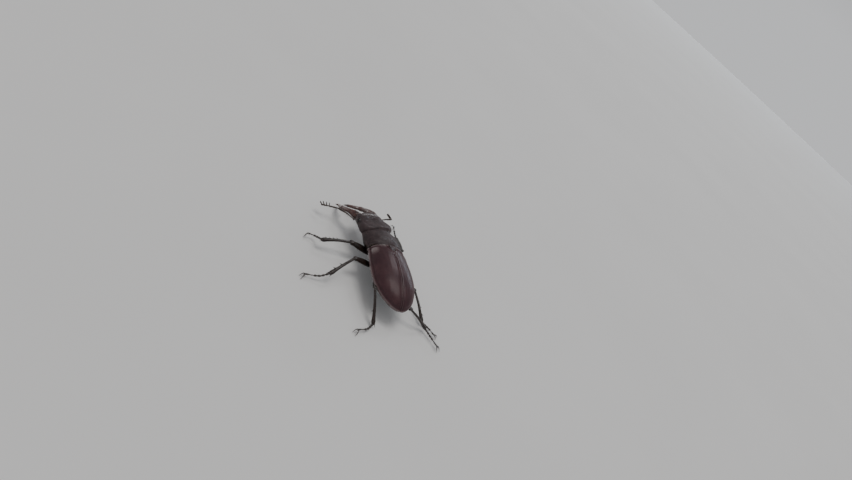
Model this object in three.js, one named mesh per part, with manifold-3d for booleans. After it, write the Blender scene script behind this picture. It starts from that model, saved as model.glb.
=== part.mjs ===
// A male stag beetle at life size, standing on the ground with its six legs spread.
// The head is turned a little to the beetle's own left. The long mandibles bend down and nearly close.
// Millimetres, +Z up. The head points along -Y and the beetle's own left side is +X.
// A place is written [forward, left, up]: forward of the wing cases' base, left of the middle line, and
// above the ground. On the head, all three are counted from the neck in the head's own turned frame.
import * as THREE from "three";
import { mergeVertices } from "three/addons/utils/BufferGeometryUtils.js";
import Module from "manifold-3d";

const wasm = await Module();
wasm.setup();

// ---------------------------------------------------------------- driving dimensions
const CLEARANCE = 0.14; // gap left between neighbouring pieces
const RIDE_HEIGHT = 8.1; // ground to the side margin of the wing cases
const FAR = 60; // reach of the blocks that only cut

// Places along the wing cases are shares of their length, 0 at the base and 1 at the tip.
const ELYTRA = {
  length: 25.5, halfWidth: 8.4, baseHalfWidth: 7.2, widestAt: 0.45, taper: 2.3, roundness: 0.62,
  dome: 5.05, tallestAt: 0.35, baseDip: 0.14, fall: 2.6, fallRoundness: 0.6, crown: 0.95,
  tipDroop: 1.0, rim: 0.9, rimSquareness: 0.4, wall: 0.8, suture: 0.12, tip: 0.995,
  hollowFrom: -0.06, hollowTo: 0.965, hollowDepth: 4,
};
const BELLY = {
  depth: [[-0.02, 2.6], [0.1, 4.3], [0.42, 4.3], [0.55, 3.9], [0.85, 2.6], [1, 0.7]],
  keel: 1.3, start: 0.005, waist: 11.2, length: 24.4,
};
const SCUTELLUM = { length: 3.0, halfWidth: 1.7, top: 4.65, thickness: 1.4, cheek: 0.9, overlap: 0.1 };

// Places along the prothorax are shares of its length, 0 behind and 1 in front.
const PRONOTUM = {
  rear: -0.55, front: 9.4, rearCut: 0.15, marginDrop: 0.1, yaw: 5,
  halfWidth: [[0, 6.9], [0.15, 7.3], [0.48, 7.65], [0.82, 7.3], [1, 6.5]],
  height: [[0, 3.85], [0.38, 4.2], [0.82, 3.6], [1, 2.85]],
  crown: 0.8, lip: 0.5, lipSquareness: 0.4,
};
const STERNUM = {
  depth: [[0, 3.0], [0.3, 4.0], [0.75, 3.8], [1, 2.4]],
  inset: 0.8, start: 0.07, end: 0.95, keel: 1.1,
};

const HEAD = {
  neck: [9.1, 0.8, 8.8], yaw: 20, pitch: 5,
  stations: [-1.9, -0.6, 0.6, 1.7, 2.7, 3.9, 5.2, 6.6, 8.0, 9.1, 9.8],
  halfWidth: [
    [-1.9, 3.8], [-0.3, 5.0], [0.9, 6.7], [2.6, 7.4], [4.6, 6.8],
    [6.4, 6.4], [8.1, 6.1], [9.2, 4.8], [9.8, 3.3],
  ],
  top: [[-1.9, 1.3], [0.2, 1.95], [1.7, 2.85], [3.9, 2.35], [7.2, 2.2], [8.7, 1.9], [9.8, 0.7]],
  bottom: [[-1.9, 1.3], [0.4, 2.2], [3.2, 2.6], [7.0, 2.1], [9.8, 1.0]],
  brow: [[2.0, 0], [4.5, 0.35], [7.5, 0.6], [9.6, 0]],
  browWidth: 5, sideSquareness: 0.7, topSquareness: 0.8,
};
const EYE = { at: [6.5, 5.5, 0.25], length: 2.1, width: 2.6, height: 1.9 };
const LABRUM = {
  root: [9.5, 0, -0.1], tip: [11.2, 0, -0.5],
  width: [[0, 3.4], [0.7, 2.6], [1, 1.2]], depth: [[0, 1.4], [0.7, 1.1], [1, 0.6]],
};
const MANDIBLE = {
  line: [[9.2, 3.5, 0.1], [12.2, 4.8, -0.7], [15.4, 4.9, -2.1], [18.8, 3.7, -3.9], [21.9, 1.1, -5.5]],
  width: [[0, 3.3], [0.25, 2.7], [0.6, 2.1], [0.85, 1.5], [1, 0.8]],
  flatness: 0.72,
  // Each tooth: its place along the blade, how far it reaches forward and inward, and its root's width.
  teeth: [
    { t: 0.55, forward: 1.2, inward: 3.0, width: 2.0 },
    { t: 0.72, forward: 0.4, inward: 1.25, width: 0.8 },
    { t: 0.79, forward: 0.4, inward: 1.25, width: 0.8 },
    { t: 0.86, forward: 0.4, inward: 1.25, width: 0.8 },
    { t: 0.93, forward: 0.3, inward: -1.3, width: 0.9 },
  ],
};
const ANTENNA = {
  scape: 0.62, arch: 0.25, funicle: 0.6, beads: 6, elbowGap: 0.12,
  club: 1.7, clubDepth: 0.75, lamellae: 4, firstLeaf: 0.65,
};
// Each feeler's socket, elbow, club root and club tip, in the head's frame.
const FEELER_POSES = {
  left: [[8.6, 6.0, -1.0], [15.9, 7.7, -2.5], [16.3, 11.6, -2.2], [18.5, 14.1, -3.4]],
  right: [[8.6, -6.0, -1.0], [8.2, -12.6, 0.3], [10.4, -15.1, -1.1], [12.5, -16.9, -2.1]],
};
// Each mouth feeler's root, middle and tip on the left side, in the head's frame.
const PALPS = {
  maxillary_palp: { joints: [[8.6, 2.4, -1.6], [10.6, 3.6, -2.0], [12.6, 3.3, -2.3]], width: 0.65 },
  labial_palp: { joints: [[8.9, 0.8, -1.4], [10.2, 1.4, -1.9], [11.6, 1.3, -2.1]], width: 0.55 },
};

// Where the joints of each leg stand.
const LEG_POSES = {
  front_left: {
    coxa: [2.6, 2.6, 3.9], knee: [3.2, 12.2, 5.9], ankle: [2.2, 23.0, 3.8],
    arch: [5.3, 23.8, 1.9], clawRoot: [5.6, 26.9, 1.9], clawTip: [5.6, 27.2, 0],
  },
  middle_left: {
    coxa: [-3.4, 2.9, 3.7], knee: [-6.0, 13.4, 7.1], ankle: [-13.0, 22.4, 3.6],
    arch: [-13.8, 25.6, 2.0], clawRoot: [-13.7, 30.4, 1.0], clawTip: [-15.0, 32.1, 0],
  },
  hind_left: {
    coxa: [-10.0, 3.2, 3.5], knee: [-18.0, 8.3, 7.5], ankle: [-28.1, 7.3, 1.3],
    arch: [-30.8, 10.1, 1.2], clawRoot: [-32.2, 14.0, 1.3], clawTip: [-33.5, 15.3, 0],
  },
  front_right: {
    coxa: [2.6, -2.6, 3.9], knee: [8.2, -11.4, 6.1], ankle: [18.8, -14.2, 2.4],
    arch: [22.9, -15.0, 1.9], clawRoot: [26.9, -16.0, 1.5], clawTip: [28.8, -16.8, 0],
  },
  middle_right: {
    coxa: [-3.4, -2.9, 3.7], knee: [-11.0, -12.4, 5.3], ankle: [-21.3, -15.1, 1.5],
    arch: [-23.3, -18.3, 0.9], clawRoot: [-25.8, -19.6, 1.1], clawTip: [-26.3, -21.2, 0],
  },
  hind_right: {
    coxa: [-10.0, -3.2, 3.5], knee: [-22.0, -6.7, 6.2], ankle: [-24.3, -15.5, 1.7],
    arch: [-27.7, -17.7, 1.2], clawRoot: [-30.6, -18.9, 1.3], clawTip: [-32.3, -20.0, 0],
  },
};

// Thickness of each pair of legs, and the number of teeth along the tibia's outer edge.
const LEG_BUILD = {
  front: { coxa: 3.0, femur: 2.7, tibia: 1.35, teeth: 4, tarsus: 0.85, claw: 0.6 },
  middle: { coxa: 3.0, femur: 2.4, tibia: 1.2, teeth: 2, tarsus: 0.85, claw: 0.6 },
  hind: { coxa: 3.0, femur: 2.3, tibia: 1.2, teeth: 1, tarsus: 0.85, claw: 0.6 },
};
// How thickness runs along each length of a leg, as shares of the sizes above.
const LEG_SHAPE = {
  coxa: { rootForward: 0.3, rootInward: 0.78, rootUp: 2.2, taper: 0.75, flatness: 0.85 },
  femur: {
    swell: [[0, 0.55], [0.12, 0.62], [0.4, 1], [0.75, 0.82], [0.95, 0.66], [1, 0.45]],
    flatness: 0.68,
  },
  tibia: {
    swell: [[0, 0.62], [0.1, 0.8], [0.5, 0.85], [0.92, 1.25], [1, 1.1]],
    flatness: 0.8, bow: 0.35, bowAt: 0.45,
  },
  teeth: { from: 0.4, spread: 0.48, reach: 1.05, lean: 0.5, width: 0.7 },
  spurs: { at: 0.94, spread: 0.95, reach: 1.2, width: 0.55 },
  tarsus: { joints: [0, 0.17, 0.33, 0.49, 0.64, 1], swell: [[0.03, 0.7], [0.9, 1.12]], flatness: 0.9 },
  claw: {
    root: 0.12, setBack: 0.2, knuckle: 0.75, along: 0.4, rise: 0.45, tip: 0.85, sink: 0.2,
    swell: [[0.5, 1], [1, 0.72]],
  },
};

const FINISHES = {
  elytra: new THREE.MeshStandardMaterial({ color: 0x3b2226, roughness: 0.32, metalness: 0 }),
  shell: new THREE.MeshStandardMaterial({ color: 0x241d1e, roughness: 0.45, metalness: 0 }),
  mandible: new THREE.MeshStandardMaterial({ color: 0x401a1a, roughness: 0.25, metalness: 0 }),
  leg: new THREE.MeshStandardMaterial({ color: 0x1b1415, roughness: 0.35, metalness: 0 }),
  feeler: new THREE.MeshStandardMaterial({ color: 0x1d1412, roughness: 0.5, metalness: 0 }),
  eye: new THREE.MeshStandardMaterial({ color: 0x0d0a0a, roughness: 0.15, metalness: 0 }),
};

// ---------------------------------------------------------------- small helpers
const UP = new THREE.Vector3(0, 0, 1);
const LEFT = new THREE.Vector3(1, 0, 0);
const FORWARD = new THREE.Vector3(0, -1, 0);
const SIDES = { left: 1, right: -1 };
const WELD = 1e-5; // distance within which two corners are one

const place = (forward, left, up) => new THREE.Vector3(left, -forward, up);
const point = (triple) => place(...triple);
const sided = (triple, side) => place(triple[0], side * triple[1], triple[2]);
const radians = THREE.MathUtils.degToRad;
const bend = (value, power) => Math.sign(value) * Math.abs(value) ** power;

/** A smooth function through [position, value] knots, level beyond the first and the last. */
function profile(knots) {
  const slopeAt = (i) => {
    if (i === 0 || i === knots.length - 1) return 0;
    return (knots[i + 1][1] - knots[i - 1][1]) / (knots[i + 1][0] - knots[i - 1][0]);
  };
  return (position) => {
    if (position <= knots[0][0]) return knots[0][1];
    if (position >= knots.at(-1)[0]) return knots.at(-1)[1];
    const i = knots.findIndex((knot) => knot[0] > position) - 1;
    const span = knots[i + 1][0] - knots[i][0];
    const t = (position - knots[i][0]) / span;
    const rise = t * t * (3 - 2 * t);
    const tangents = slopeAt(i) * t * (1 - t) ** 2 - slopeAt(i + 1) * t * t * (1 - t);
    return knots[i][1] + (knots[i + 1][1] - knots[i][1]) * rise + tangents * span;
  };
}

/** Turns a closed geometry into a solid with its faces pointing outwards. */
function solid(geometry) {
  const bare = geometry.clone();
  bare.deleteAttribute("normal");
  bare.deleteAttribute("uv");
  const merged = mergeVertices(bare, WELD);
  const corners = merged.attributes.position;
  const corner = (i) => new THREE.Vector3().fromBufferAttribute(corners, i);
  const triangles = [];
  let volume = 0;
  for (let i = 0; i < merged.index.count; i += 3) {
    const [a, b, c] = [0, 1, 2].map((k) => merged.index.getX(i + k));
    if (a === b || b === c || c === a) continue;
    triangles.push([a, b, c]);
    volume += corner(a).dot(corner(b).cross(corner(c)));
  }
  const facesOut = volume > 0 ? triangles : triangles.map(([a, b, c]) => [a, c, b]);
  return new wasm.Manifold(new wasm.Mesh({
    numProp: 3,
    vertProperties: new Float32Array(corners.array),
    triVerts: new Uint32Array(facesOut.flat()),
  }));
}

/** A closed body through a row of rings: a capped cylinder whose points move to pointAt(ring, angle). */
function loft(ringCount, sides, pointAt) {
  const lastRing = ringCount - 1;
  const geometry = new THREE.CylinderGeometry(1, 1, lastRing, sides, lastRing);
  const positions = geometry.attributes.position;
  const step = (2 * Math.PI) / sides;
  const ringCentre = (ring) => {
    const centre = new THREE.Vector3();
    for (let k = 0; k < sides; k += 1) centre.add(pointAt(ring, k * step));
    return centre.divideScalar(sides);
  };
  for (let i = 0; i < positions.count; i += 1) {
    const ring = Math.round(positions.getY(i) + lastRing / 2);
    const [sine, cosine] = [positions.getX(i), positions.getZ(i)];
    const onRim = Math.hypot(sine, cosine) > 0.5;
    const segment = (Math.round(Math.atan2(sine, cosine) / step) + sides) % sides;
    const moved = onRim ? pointAt(ring, segment * step) : ringCentre(ring);
    positions.setXYZ(i, moved.x, moved.y, moved.z);
  }
  return solid(geometry);
}

/**
 * A body along a curve. Each station holds t along the curve, and the width and depth there in mm.
 * The width lies along `across`, and `grow` thickens and lengthens the whole body.
 */
function limb(curve, stations, across, sides, grow = 0) {
  const rings = stations.map(({ t, width, depth }, i) => {
    const tangent = curve.getTangentAt(t);
    const side = across.clone().addScaledVector(tangent, -across.dot(tangent)).normalize();
    const normal = new THREE.Vector3().crossVectors(tangent, side);
    const endShift = i === 0 ? -grow : i === stations.length - 1 ? grow : 0;
    const centre = curve.getPointAt(t).addScaledVector(tangent, endShift);
    side.multiplyScalar(width / 2 + grow);
    normal.multiplyScalar(depth / 2 + grow);
    return { centre, side, normal };
  });
  return loft(rings.length, sides, (ring, angle) => {
    const { centre, side, normal } = rings[ring];
    return centre.clone().addScaledVector(side, Math.cos(angle)).addScaledVector(normal, Math.sin(angle));
  });
}

/** A curve through hand-placed points. */
const through = (...points) => new THREE.CatmullRomCurve3(points, false, "centripetal");

/** The level direction square to the line between two points. */
const acrossLine = (from, to) => new THREE.Vector3().crossVectors(to.clone().sub(from), UP).normalize();

/** Stations for a body with `count` rings, closer together at both ends, `flatness` times as deep as wide. */
function evenStations(count, widthAt, flatness = 1) {
  return Array.from({ length: count }, (_, i) => {
    const t = 0.5 - 0.5 * Math.cos((Math.PI * i) / (count - 1));
    return { t, width: widthAt(t), depth: widthAt(t) * flatness };
  });
}

/** A thorn from its root to its tip, a quarter as thick there. */
function thorn(root, tip, width, across, grow = 0) {
  const stations = [{ t: 0, width, depth: width }, { t: 1, width: width / 4, depth: width / 4 }];
  return limb(new THREE.LineCurve3(root, tip), stations, across, 3, grow);
}

/** A box between two corners given as [forward, left, up]. */
function block(cornerA, cornerB) {
  const box = new THREE.Box3().setFromPoints([point(cornerA), point(cornerB)]);
  const size = box.getSize(new THREE.Vector3());
  const centre = box.getCenter(new THREE.Vector3());
  return solid(new THREE.BoxGeometry(size.x, size.y, size.z).translate(centre.x, centre.y, centre.z));
}

/** The largest separate body of a cut solid. */
const largest = (cut) => cut.decompose().reduce((a, b) => (b.volume() > a.volume() ? b : a));

/** Cuts every tool out of a body and keeps its largest remainder. */
const carve = (body, ...tools) => largest(tools.reduce((left, tool) => left.subtract(tool), body));

/** Joins several solids. */
const join = (first, ...others) => others.reduce((sum, other) => sum.add(other), first);

/** A named mesh of a finished solid. */
function mesh(name, body, material) {
  const { vertProperties, triVerts } = body.getMesh();
  const geometry = new THREE.BufferGeometry();
  geometry.setAttribute("position", new THREE.BufferAttribute(new Float32Array(vertProperties), 3));
  geometry.setIndex(new THREE.BufferAttribute(new Uint32Array(triVerts), 1));
  geometry.computeVertexNormals();
  const made = new THREE.Mesh(geometry, material.clone());
  made.name = name;
  return made;
}

// ---------------------------------------------------------------- wing cases, thorax and abdomen
const marginHeight = (s) => RIDE_HEIGHT - ELYTRA.tipDroop * s * s;
const bellyDepth = profile(BELLY.depth);

function elytraHalfWidth(s) {
  const { baseHalfWidth, halfWidth, widestAt, taper, roundness } = ELYTRA;
  if (s < widestAt) {
    const swell = Math.sin((Math.max(s, 0) / widestAt) * (Math.PI / 2));
    return baseHalfWidth + (halfWidth - baseHalfWidth) * swell;
  }
  return halfWidth * (1 - ((s - widestAt) / (1 - widestAt)) ** taper) ** roundness;
}

function elytraTop(s) {
  const { dome: height, tallestAt, baseDip, fall, fallRoundness } = ELYTRA;
  if (s < tallestAt) return height * (1 - baseDip * ((tallestAt - s) / tallestAt) ** 2);
  return height * (1 - ((s - tallestAt) / (1 - tallestAt)) ** fall) ** fallRoundness;
}

/** The domed hind body from station `from` to `to`, with its skin moved out by `grow`. */
function dome({ from, to, grow, rings, sides, underside }) {
  const crowding = 1.7; // draws the rings together towards the tip
  return loft(rings, sides, (ring, angle) => {
    const s = from + (to - from) * (1 - (1 - ring / (rings - 1)) ** crowding);
    const halfWidth = elytraHalfWidth(s) + grow;
    const rise = Math.sin(angle);
    if (rise >= 0) {
      const up = marginHeight(s) + (elytraTop(s) + grow) * rise ** ELYTRA.crown;
      return place(-s * ELYTRA.length, halfWidth * Math.cos(angle), up);
    }
    return underside(s, halfWidth, angle);
  });
}

/** A flat underside, `drop` below the side margin. */
const flatUnderside = (drop) => (s, halfWidth, angle) => {
  const up = marginHeight(s) + drop * bend(Math.sin(angle), ELYTRA.rimSquareness);
  return place(-s * ELYTRA.length, halfWidth * Math.cos(angle), up);
};

/** The keeled underside of the thorax and abdomen. */
function bellyUnderside(s, halfWidth, angle) {
  const up = marginHeight(s) + bellyDepth(s) * bend(Math.sin(angle), BELLY.keel);
  return place(-s * ELYTRA.length, halfWidth * bend(Math.cos(angle), BELLY.keel), up);
}

/** The small rounded triangle between the bases of the wing cases. */
function scutellumPlate(grow) {
  const { halfWidth, length, top, thickness, cheek, overlap } = SCUTELLUM;
  const [half, front, bulge] = [halfWidth + grow, -overlap - grow, (halfWidth + grow) * cheek];
  const outline = new THREE.Shape();
  outline.moveTo(-half, front);
  outline.lineTo(half, front);
  outline.quadraticCurveTo(bulge, length * 0.6, 0, length + grow);
  outline.quadraticCurveTo(-bulge, length * 0.6, -half, front);
  const depth = thickness + 2 * grow;
  const plate = new THREE.ExtrudeGeometry(outline, { depth, bevelEnabled: false, curveSegments: 6 });
  return solid(plate.translate(0, 0, RIDE_HEIGHT + top - thickness - grow));
}

/** The wing cases are one hollow dome split along the suture, over a core split at the waist. */
function hindBody() {
  const skin = {
    rings: 13, sides: 22, from: 0, to: ELYTRA.tip,
    grow: 0, underside: flatUnderside(ELYTRA.rim),
  };
  const inside = {
    rings: 9, sides: 14, from: ELYTRA.hollowFrom, to: ELYTRA.hollowTo,
    grow: -ELYTRA.wall, underside: flatUnderside(ELYTRA.hollowDepth),
  };
  const body = {
    rings: 11, sides: 14, from: BELLY.start, to: BELLY.length / ELYTRA.length,
    grow: -ELYTRA.wall - 2 * CLEARANCE, underside: bellyUnderside,
  };
  const cases = dome(skin).subtract(dome(inside)).subtract(scutellumPlate(CLEARANCE));
  const core = dome(body).subtract(scutellumPlate(CLEARANCE));
  const half = (side) => block([FAR, (side * ELYTRA.suture) / 2, -FAR], [-FAR, side * FAR, FAR]);
  const aheadOfWaist = block([FAR, FAR, -FAR], [-BELLY.waist + CLEARANCE / 2, -FAR, FAR]);
  const behindWaist = block([-BELLY.waist - CLEARANCE / 2, FAR, -FAR], [-FAR, -FAR, FAR]);
  return {
    elytron_left: largest(cases.intersect(half(SIDES.left))),
    elytron_right: largest(cases.intersect(half(SIDES.right))),
    scutellum: scutellumPlate(0),
    metathorax: largest(core.intersect(aheadOfWaist)),
    abdomen: largest(core.intersect(behindWaist)),
  };
}

// ---------------------------------------------------------------- prothorax
/** The domed shield and the keeled plate under it, both turned with the head. */
function prothorax() {
  const { rear, front, rearCut, marginDrop, crown, lip, lipSquareness } = PRONOTUM;
  const halfWidthAt = profile(PRONOTUM.halfWidth);
  const heightAt = profile(PRONOTUM.height);
  const depthAt = profile(STERNUM.depth);
  const margin = RIDE_HEIGHT - marginDrop;
  const forwardOf = (t) => rear + (front - rear) * t;
  const [shieldRings, sternumRings] = [8, 6];
  const shield = loft(shieldRings, 18, (ring, angle) => {
    const t = ring / (shieldRings - 1);
    const rise = Math.sin(angle);
    const up = rise >= 0 ? heightAt(t) * rise ** crown : lip * bend(rise, lipSquareness);
    return place(forwardOf(t), halfWidthAt(t) * Math.cos(angle), margin + up);
  });
  const sternum = loft(sternumRings, 12, (ring, angle) => {
    const t = ring / (sternumRings - 1);
    const below = depthAt(t) * Math.min(0, bend(Math.sin(angle), STERNUM.keel));
    const half = (halfWidthAt(t) - STERNUM.inset) * bend(Math.cos(angle), STERNUM.keel);
    const forward = forwardOf(STERNUM.start + (STERNUM.end - STERNUM.start) * t);
    return place(forward, half, margin - lip - CLEARANCE + below);
  });
  const turn = new THREE.Matrix4().makeRotationZ(radians(PRONOTUM.yaw)).toArray();
  const behind = block([rearCut, FAR, -FAR], [-FAR, -FAR, FAR]);
  return {
    shield: shield.transform(turn).subtract(behind),
    sternum: sternum.transform(turn).subtract(behind),
  };
}

// ---------------------------------------------------------------- head, in its own turned frame
/** The head: widest at the temples, with a crest behind and a shallow hollow along the brow. */
function skull(grow, sides = 12) {
  const { stations, browWidth, sideSquareness, topSquareness } = HEAD;
  const [halfWidthAt, topAt] = [profile(HEAD.halfWidth), profile(HEAD.top)];
  const [bottomAt, browAt] = [profile(HEAD.bottom), profile(HEAD.brow)];
  return loft(stations.length, sides, (ring, angle) => {
    const endShift = ring === 0 ? -grow : ring === stations.length - 1 ? grow : 0;
    const forward = stations[ring] + endShift;
    const rise = Math.sin(angle);
    const height = rise >= 0 ? topAt(forward) : bottomAt(forward);
    const brow = browAt(forward) * Math.max(0, rise) ** browWidth;
    const up = (height + grow) * bend(rise, topSquareness) - brow;
    return place(forward, (halfWidthAt(forward) + grow) * bend(Math.cos(angle), sideSquareness), up);
  });
}

function eyeball(side, grow) {
  const ball = new THREE.SphereGeometry(1, 10, 7);
  ball.scale(EYE.width / 2 + grow, EYE.length / 2 + grow, EYE.height / 2 + grow);
  const centre = sided(EYE.at, side);
  return solid(ball.translate(centre.x, centre.y, centre.z));
}

/** One jaw: a flattened blade that bows out and down, with its teeth on the inner edge. */
function mandible(side) {
  const curve = through(...MANDIBLE.line.map((triple) => sided(triple, side)));
  const blade = limb(curve, evenStations(10, profile(MANDIBLE.width), MANDIBLE.flatness), LEFT, 8);
  const teeth = MANDIBLE.teeth.map(({ t, forward, inward, width }) => {
    const root = curve.getPointAt(t);
    return thorn(root, root.clone().add(sided([forward, -inward, -CLEARANCE], side)), width, UP);
  });
  return join(blade, ...teeth);
}

function labrum() {
  const curve = new THREE.LineCurve3(point(LABRUM.root), point(LABRUM.tip));
  const stations = LABRUM.width.map(([t, width], i) => ({ t, width, depth: LABRUM.depth[i][1] }));
  return limb(curve, stations, LEFT, 10);
}

/** The pieces of one feeler: the scape to its elbow, the beaded funicle and the leafed club. */
function antenna(socket, elbow, clubStart, clubEnd) {
  const archTop = socket.clone().lerp(elbow, 0.5).addScaledVector(UP, ANTENNA.arch);
  const scapeWidth = profile([[0, 0.8 * ANTENNA.scape], [1, 1.15 * ANTENNA.scape]]);
  const scape = limb(through(socket, archTop, elbow), evenStations(5, scapeWidth), UP, 7);

  const beadStations = [];
  for (let bead = 0; bead < ANTENNA.beads; bead += 1) {
    for (const [part, swell] of [[0.04, 0.7], [0.75, 1.15]]) {
      const thick = ANTENNA.funicle * swell;
      beadStations.push({ t: (bead + part) / ANTENNA.beads, width: thick, depth: thick });
    }
  }
  const start = elbow.clone().lerp(clubStart, ANTENNA.elbowGap);
  const funicle = limb(new THREE.LineCurve3(start, clubStart), beadStations, UP, 5);

  const leafStations = [];
  for (let leaf = 0; leaf < ANTENNA.lamellae; leaf += 1) {
    const arc = Math.sin(((leaf + 1) / ANTENNA.lamellae) * 2.4);
    const reach = ANTENNA.club * (ANTENNA.firstLeaf + (1 - ANTENNA.firstLeaf) * arc);
    for (const [part, swell] of [[0.1, 0.55], [0.55, 1], [0.9, 1]]) {
      const t = (leaf + part) / ANTENNA.lamellae;
      leafStations.push({ t, width: reach * swell, depth: ANTENNA.clubDepth * swell });
    }
  }
  const club = limb(new THREE.LineCurve3(clubStart, clubEnd), leafStations, FORWARD, 6);
  return { scape, funicle, club };
}

function palp(joints, width) {
  const swell = profile([[0, 0.85], [0.45, 1.1], [0.55, 0.85], [0.9, 1.2], [1, 0.6]]);
  const stations = [0, 0.25, 0.45, 0.55, 0.8, 1].map((t) => {
    const thick = width * swell(t);
    return { t, width: thick, depth: thick };
  });
  return limb(through(...joints), stations, UP, 5);
}

// ---------------------------------------------------------------- legs
function coxaBody(spot, pose, build, grow) {
  const { rootForward, rootInward, rootUp, taper, flatness } = LEG_SHAPE.coxa;
  const [forward, left, up] = pose.coxa;
  const root = place(forward + rootForward, left * rootInward, up + rootUp);
  const widthAt = (t) => build.coxa * Math.sqrt(1 - taper * t ** 4);
  return limb(new THREE.LineCurve3(root, spot.coxa), evenStations(4, widthAt, flatness), LEFT, 8, grow);
}

function femurBody(spot, build, grow) {
  const { swell, flatness } = LEG_SHAPE.femur;
  const widthAt = (t) => build.femur * profile(swell)(t);
  const across = acrossLine(spot.coxa, spot.knee);
  const stations = evenStations(6, widthAt, flatness);
  return limb(new THREE.LineCurve3(spot.coxa, spot.knee), stations, across, 7, grow);
}

/** The tibia with the teeth on its outer edge and the two spurs at its end. */
function tibiaBody(spot, build, side, grow) {
  const { swell, flatness, bow, bowAt } = LEG_SHAPE.tibia;
  const { teeth, spurs } = LEG_SHAPE;
  const archTop = spot.knee.clone().lerp(spot.ankle, bowAt).addScaledVector(UP, bow);
  const curve = through(spot.knee, archTop, spot.ankle);
  const across = acrossLine(spot.knee, spot.ankle);
  const widthAt = (t) => build.tibia * profile(swell)(t);
  const shaft = limb(curve, evenStations(6, widthAt, flatness), across, 7, grow);
  const outerTeeth = Array.from({ length: build.teeth }, (_, i) => {
    const t = teeth.from + (teeth.spread * (i + 0.5)) / build.teeth;
    const root = curve.getPointAt(t);
    const tip = root.clone().addScaledVector(across, side * build.tibia * teeth.reach);
    return thorn(root, tip.addScaledVector(curve.getTangentAt(t), teeth.lean), teeth.width, UP, grow);
  });
  const endSpurs = Object.values(SIDES).map((way) => {
    const root = curve.getPointAt(spurs.at);
    const tip = root.clone().addScaledVector(across, way * spurs.spread);
    return thorn(root, tip.addScaledVector(curve.getTangentAt(1), spurs.reach), spurs.width, UP, grow);
  });
  return join(shaft, ...outerTeeth, ...endSpurs);
}

/** The foot: five joints, each wider towards its end. */
function tarsusBody(spot, build, grow) {
  const { joints, swell, flatness } = LEG_SHAPE.tarsus;
  const curve = through(spot.ankle, spot.arch, spot.clawRoot);
  const stations = joints.slice(1).flatMap((end, i) => swell.map(([part, share]) => {
    const width = build.tarsus * share;
    return { t: joints[i] + (end - joints[i]) * part, width, depth: width * flatness };
  }));
  return limb(curve, stations, acrossLine(spot.ankle, spot.clawRoot), 5, grow);
}

/** The pair of claws. Their tips reach below the ground, where they are cut flat. */
function clawPair(spot, build) {
  const { root, setBack, knuckle, along, rise, tip, sink, swell } = LEG_SHAPE.claw;
  const across = acrossLine(spot.ankle, spot.clawRoot);
  const footWay = through(spot.ankle, spot.arch, spot.clawRoot).getTangentAt(1);
  const reach = spot.clawTip.clone().sub(spot.clawRoot);
  const widthAt = (t) => build.claw * profile(swell)(t);
  const [left, right] = Object.values(SIDES).map((way) => {
    const start = spot.clawRoot.clone().addScaledVector(across, way * root);
    start.addScaledVector(footWay, -setBack);
    const bendPoint = spot.clawRoot.clone().addScaledVector(across, way * knuckle);
    bendPoint.addScaledVector(reach, along).addScaledVector(UP, rise);
    const end = spot.clawTip.clone().addScaledVector(across, way * tip).addScaledVector(UP, -sink);
    return limb(through(start, bendPoint, end), evenStations(4, widthAt), across, 5);
  });
  return join(left, right);
}

/** The five lengths of one leg, each cut clear of the one it grows from, and the room its root needs. */
function legParts(pose, build, side) {
  const spot = Object.fromEntries(Object.entries(pose).map(([joint, triple]) => [joint, point(triple)]));
  const coxaRoom = coxaBody(spot, pose, build, CLEARANCE);
  const femurRoom = femurBody(spot, build, CLEARANCE);
  const tibiaRoom = tibiaBody(spot, build, side, CLEARANCE);
  const tarsusRoom = tarsusBody(spot, build, CLEARANCE);
  const underground = block([FAR, FAR, -FAR], [-FAR, -FAR, 0]);
  return {
    rooms: [coxaRoom, femurRoom],
    coxa: coxaBody(spot, pose, build, 0),
    femur: carve(femurBody(spot, build, 0), coxaRoom),
    tibia: carve(tibiaBody(spot, build, side, 0), femurRoom),
    tarsus: carve(tarsusBody(spot, build, 0), tibiaRoom, underground),
    claws: carve(clawPair(spot, build), tarsusRoom, underground),
  };
}

// ---------------------------------------------------------------- the whole beetle
const beetle = new THREE.Group();
const legs = Object.entries(LEG_POSES).map(([name, pose]) => {
  const [pair, sideName] = name.split("_");
  return { name, parts: legParts(pose, LEG_BUILD[pair], SIDES[sideName]) };
});
const legRooms = legs.flatMap(({ parts }) => parts.rooms);

const headGroup = new THREE.Group();
headGroup.position.copy(point(HEAD.neck));
headGroup.rotation.order = "ZXY";
headGroup.rotation.z = radians(HEAD.yaw);
headGroup.rotation.x = radians(HEAD.pitch);
headGroup.updateMatrix();
const headRoom = skull(2 * CLEARANCE).transform(headGroup.matrix.toArray());
const skullRoom = skull(CLEARANCE);

const trunk = hindBody();
for (const [name, body] of Object.entries(trunk)) {
  if (name === "scutellum") {
    beetle.add(mesh(name, body, FINISHES.shell));
    continue;
  }
  const finish = name.startsWith("elytron") ? FINISHES.elytra : FINISHES.shell;
  beetle.add(mesh(name, carve(body, ...legRooms), finish));
}

const { shield, sternum } = prothorax();
beetle.add(mesh("pronotum", carve(shield, headRoom, ...legRooms), FINISHES.shell));
beetle.add(mesh("prosternum", carve(sternum, headRoom, ...legRooms), FINISHES.shell));

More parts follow.
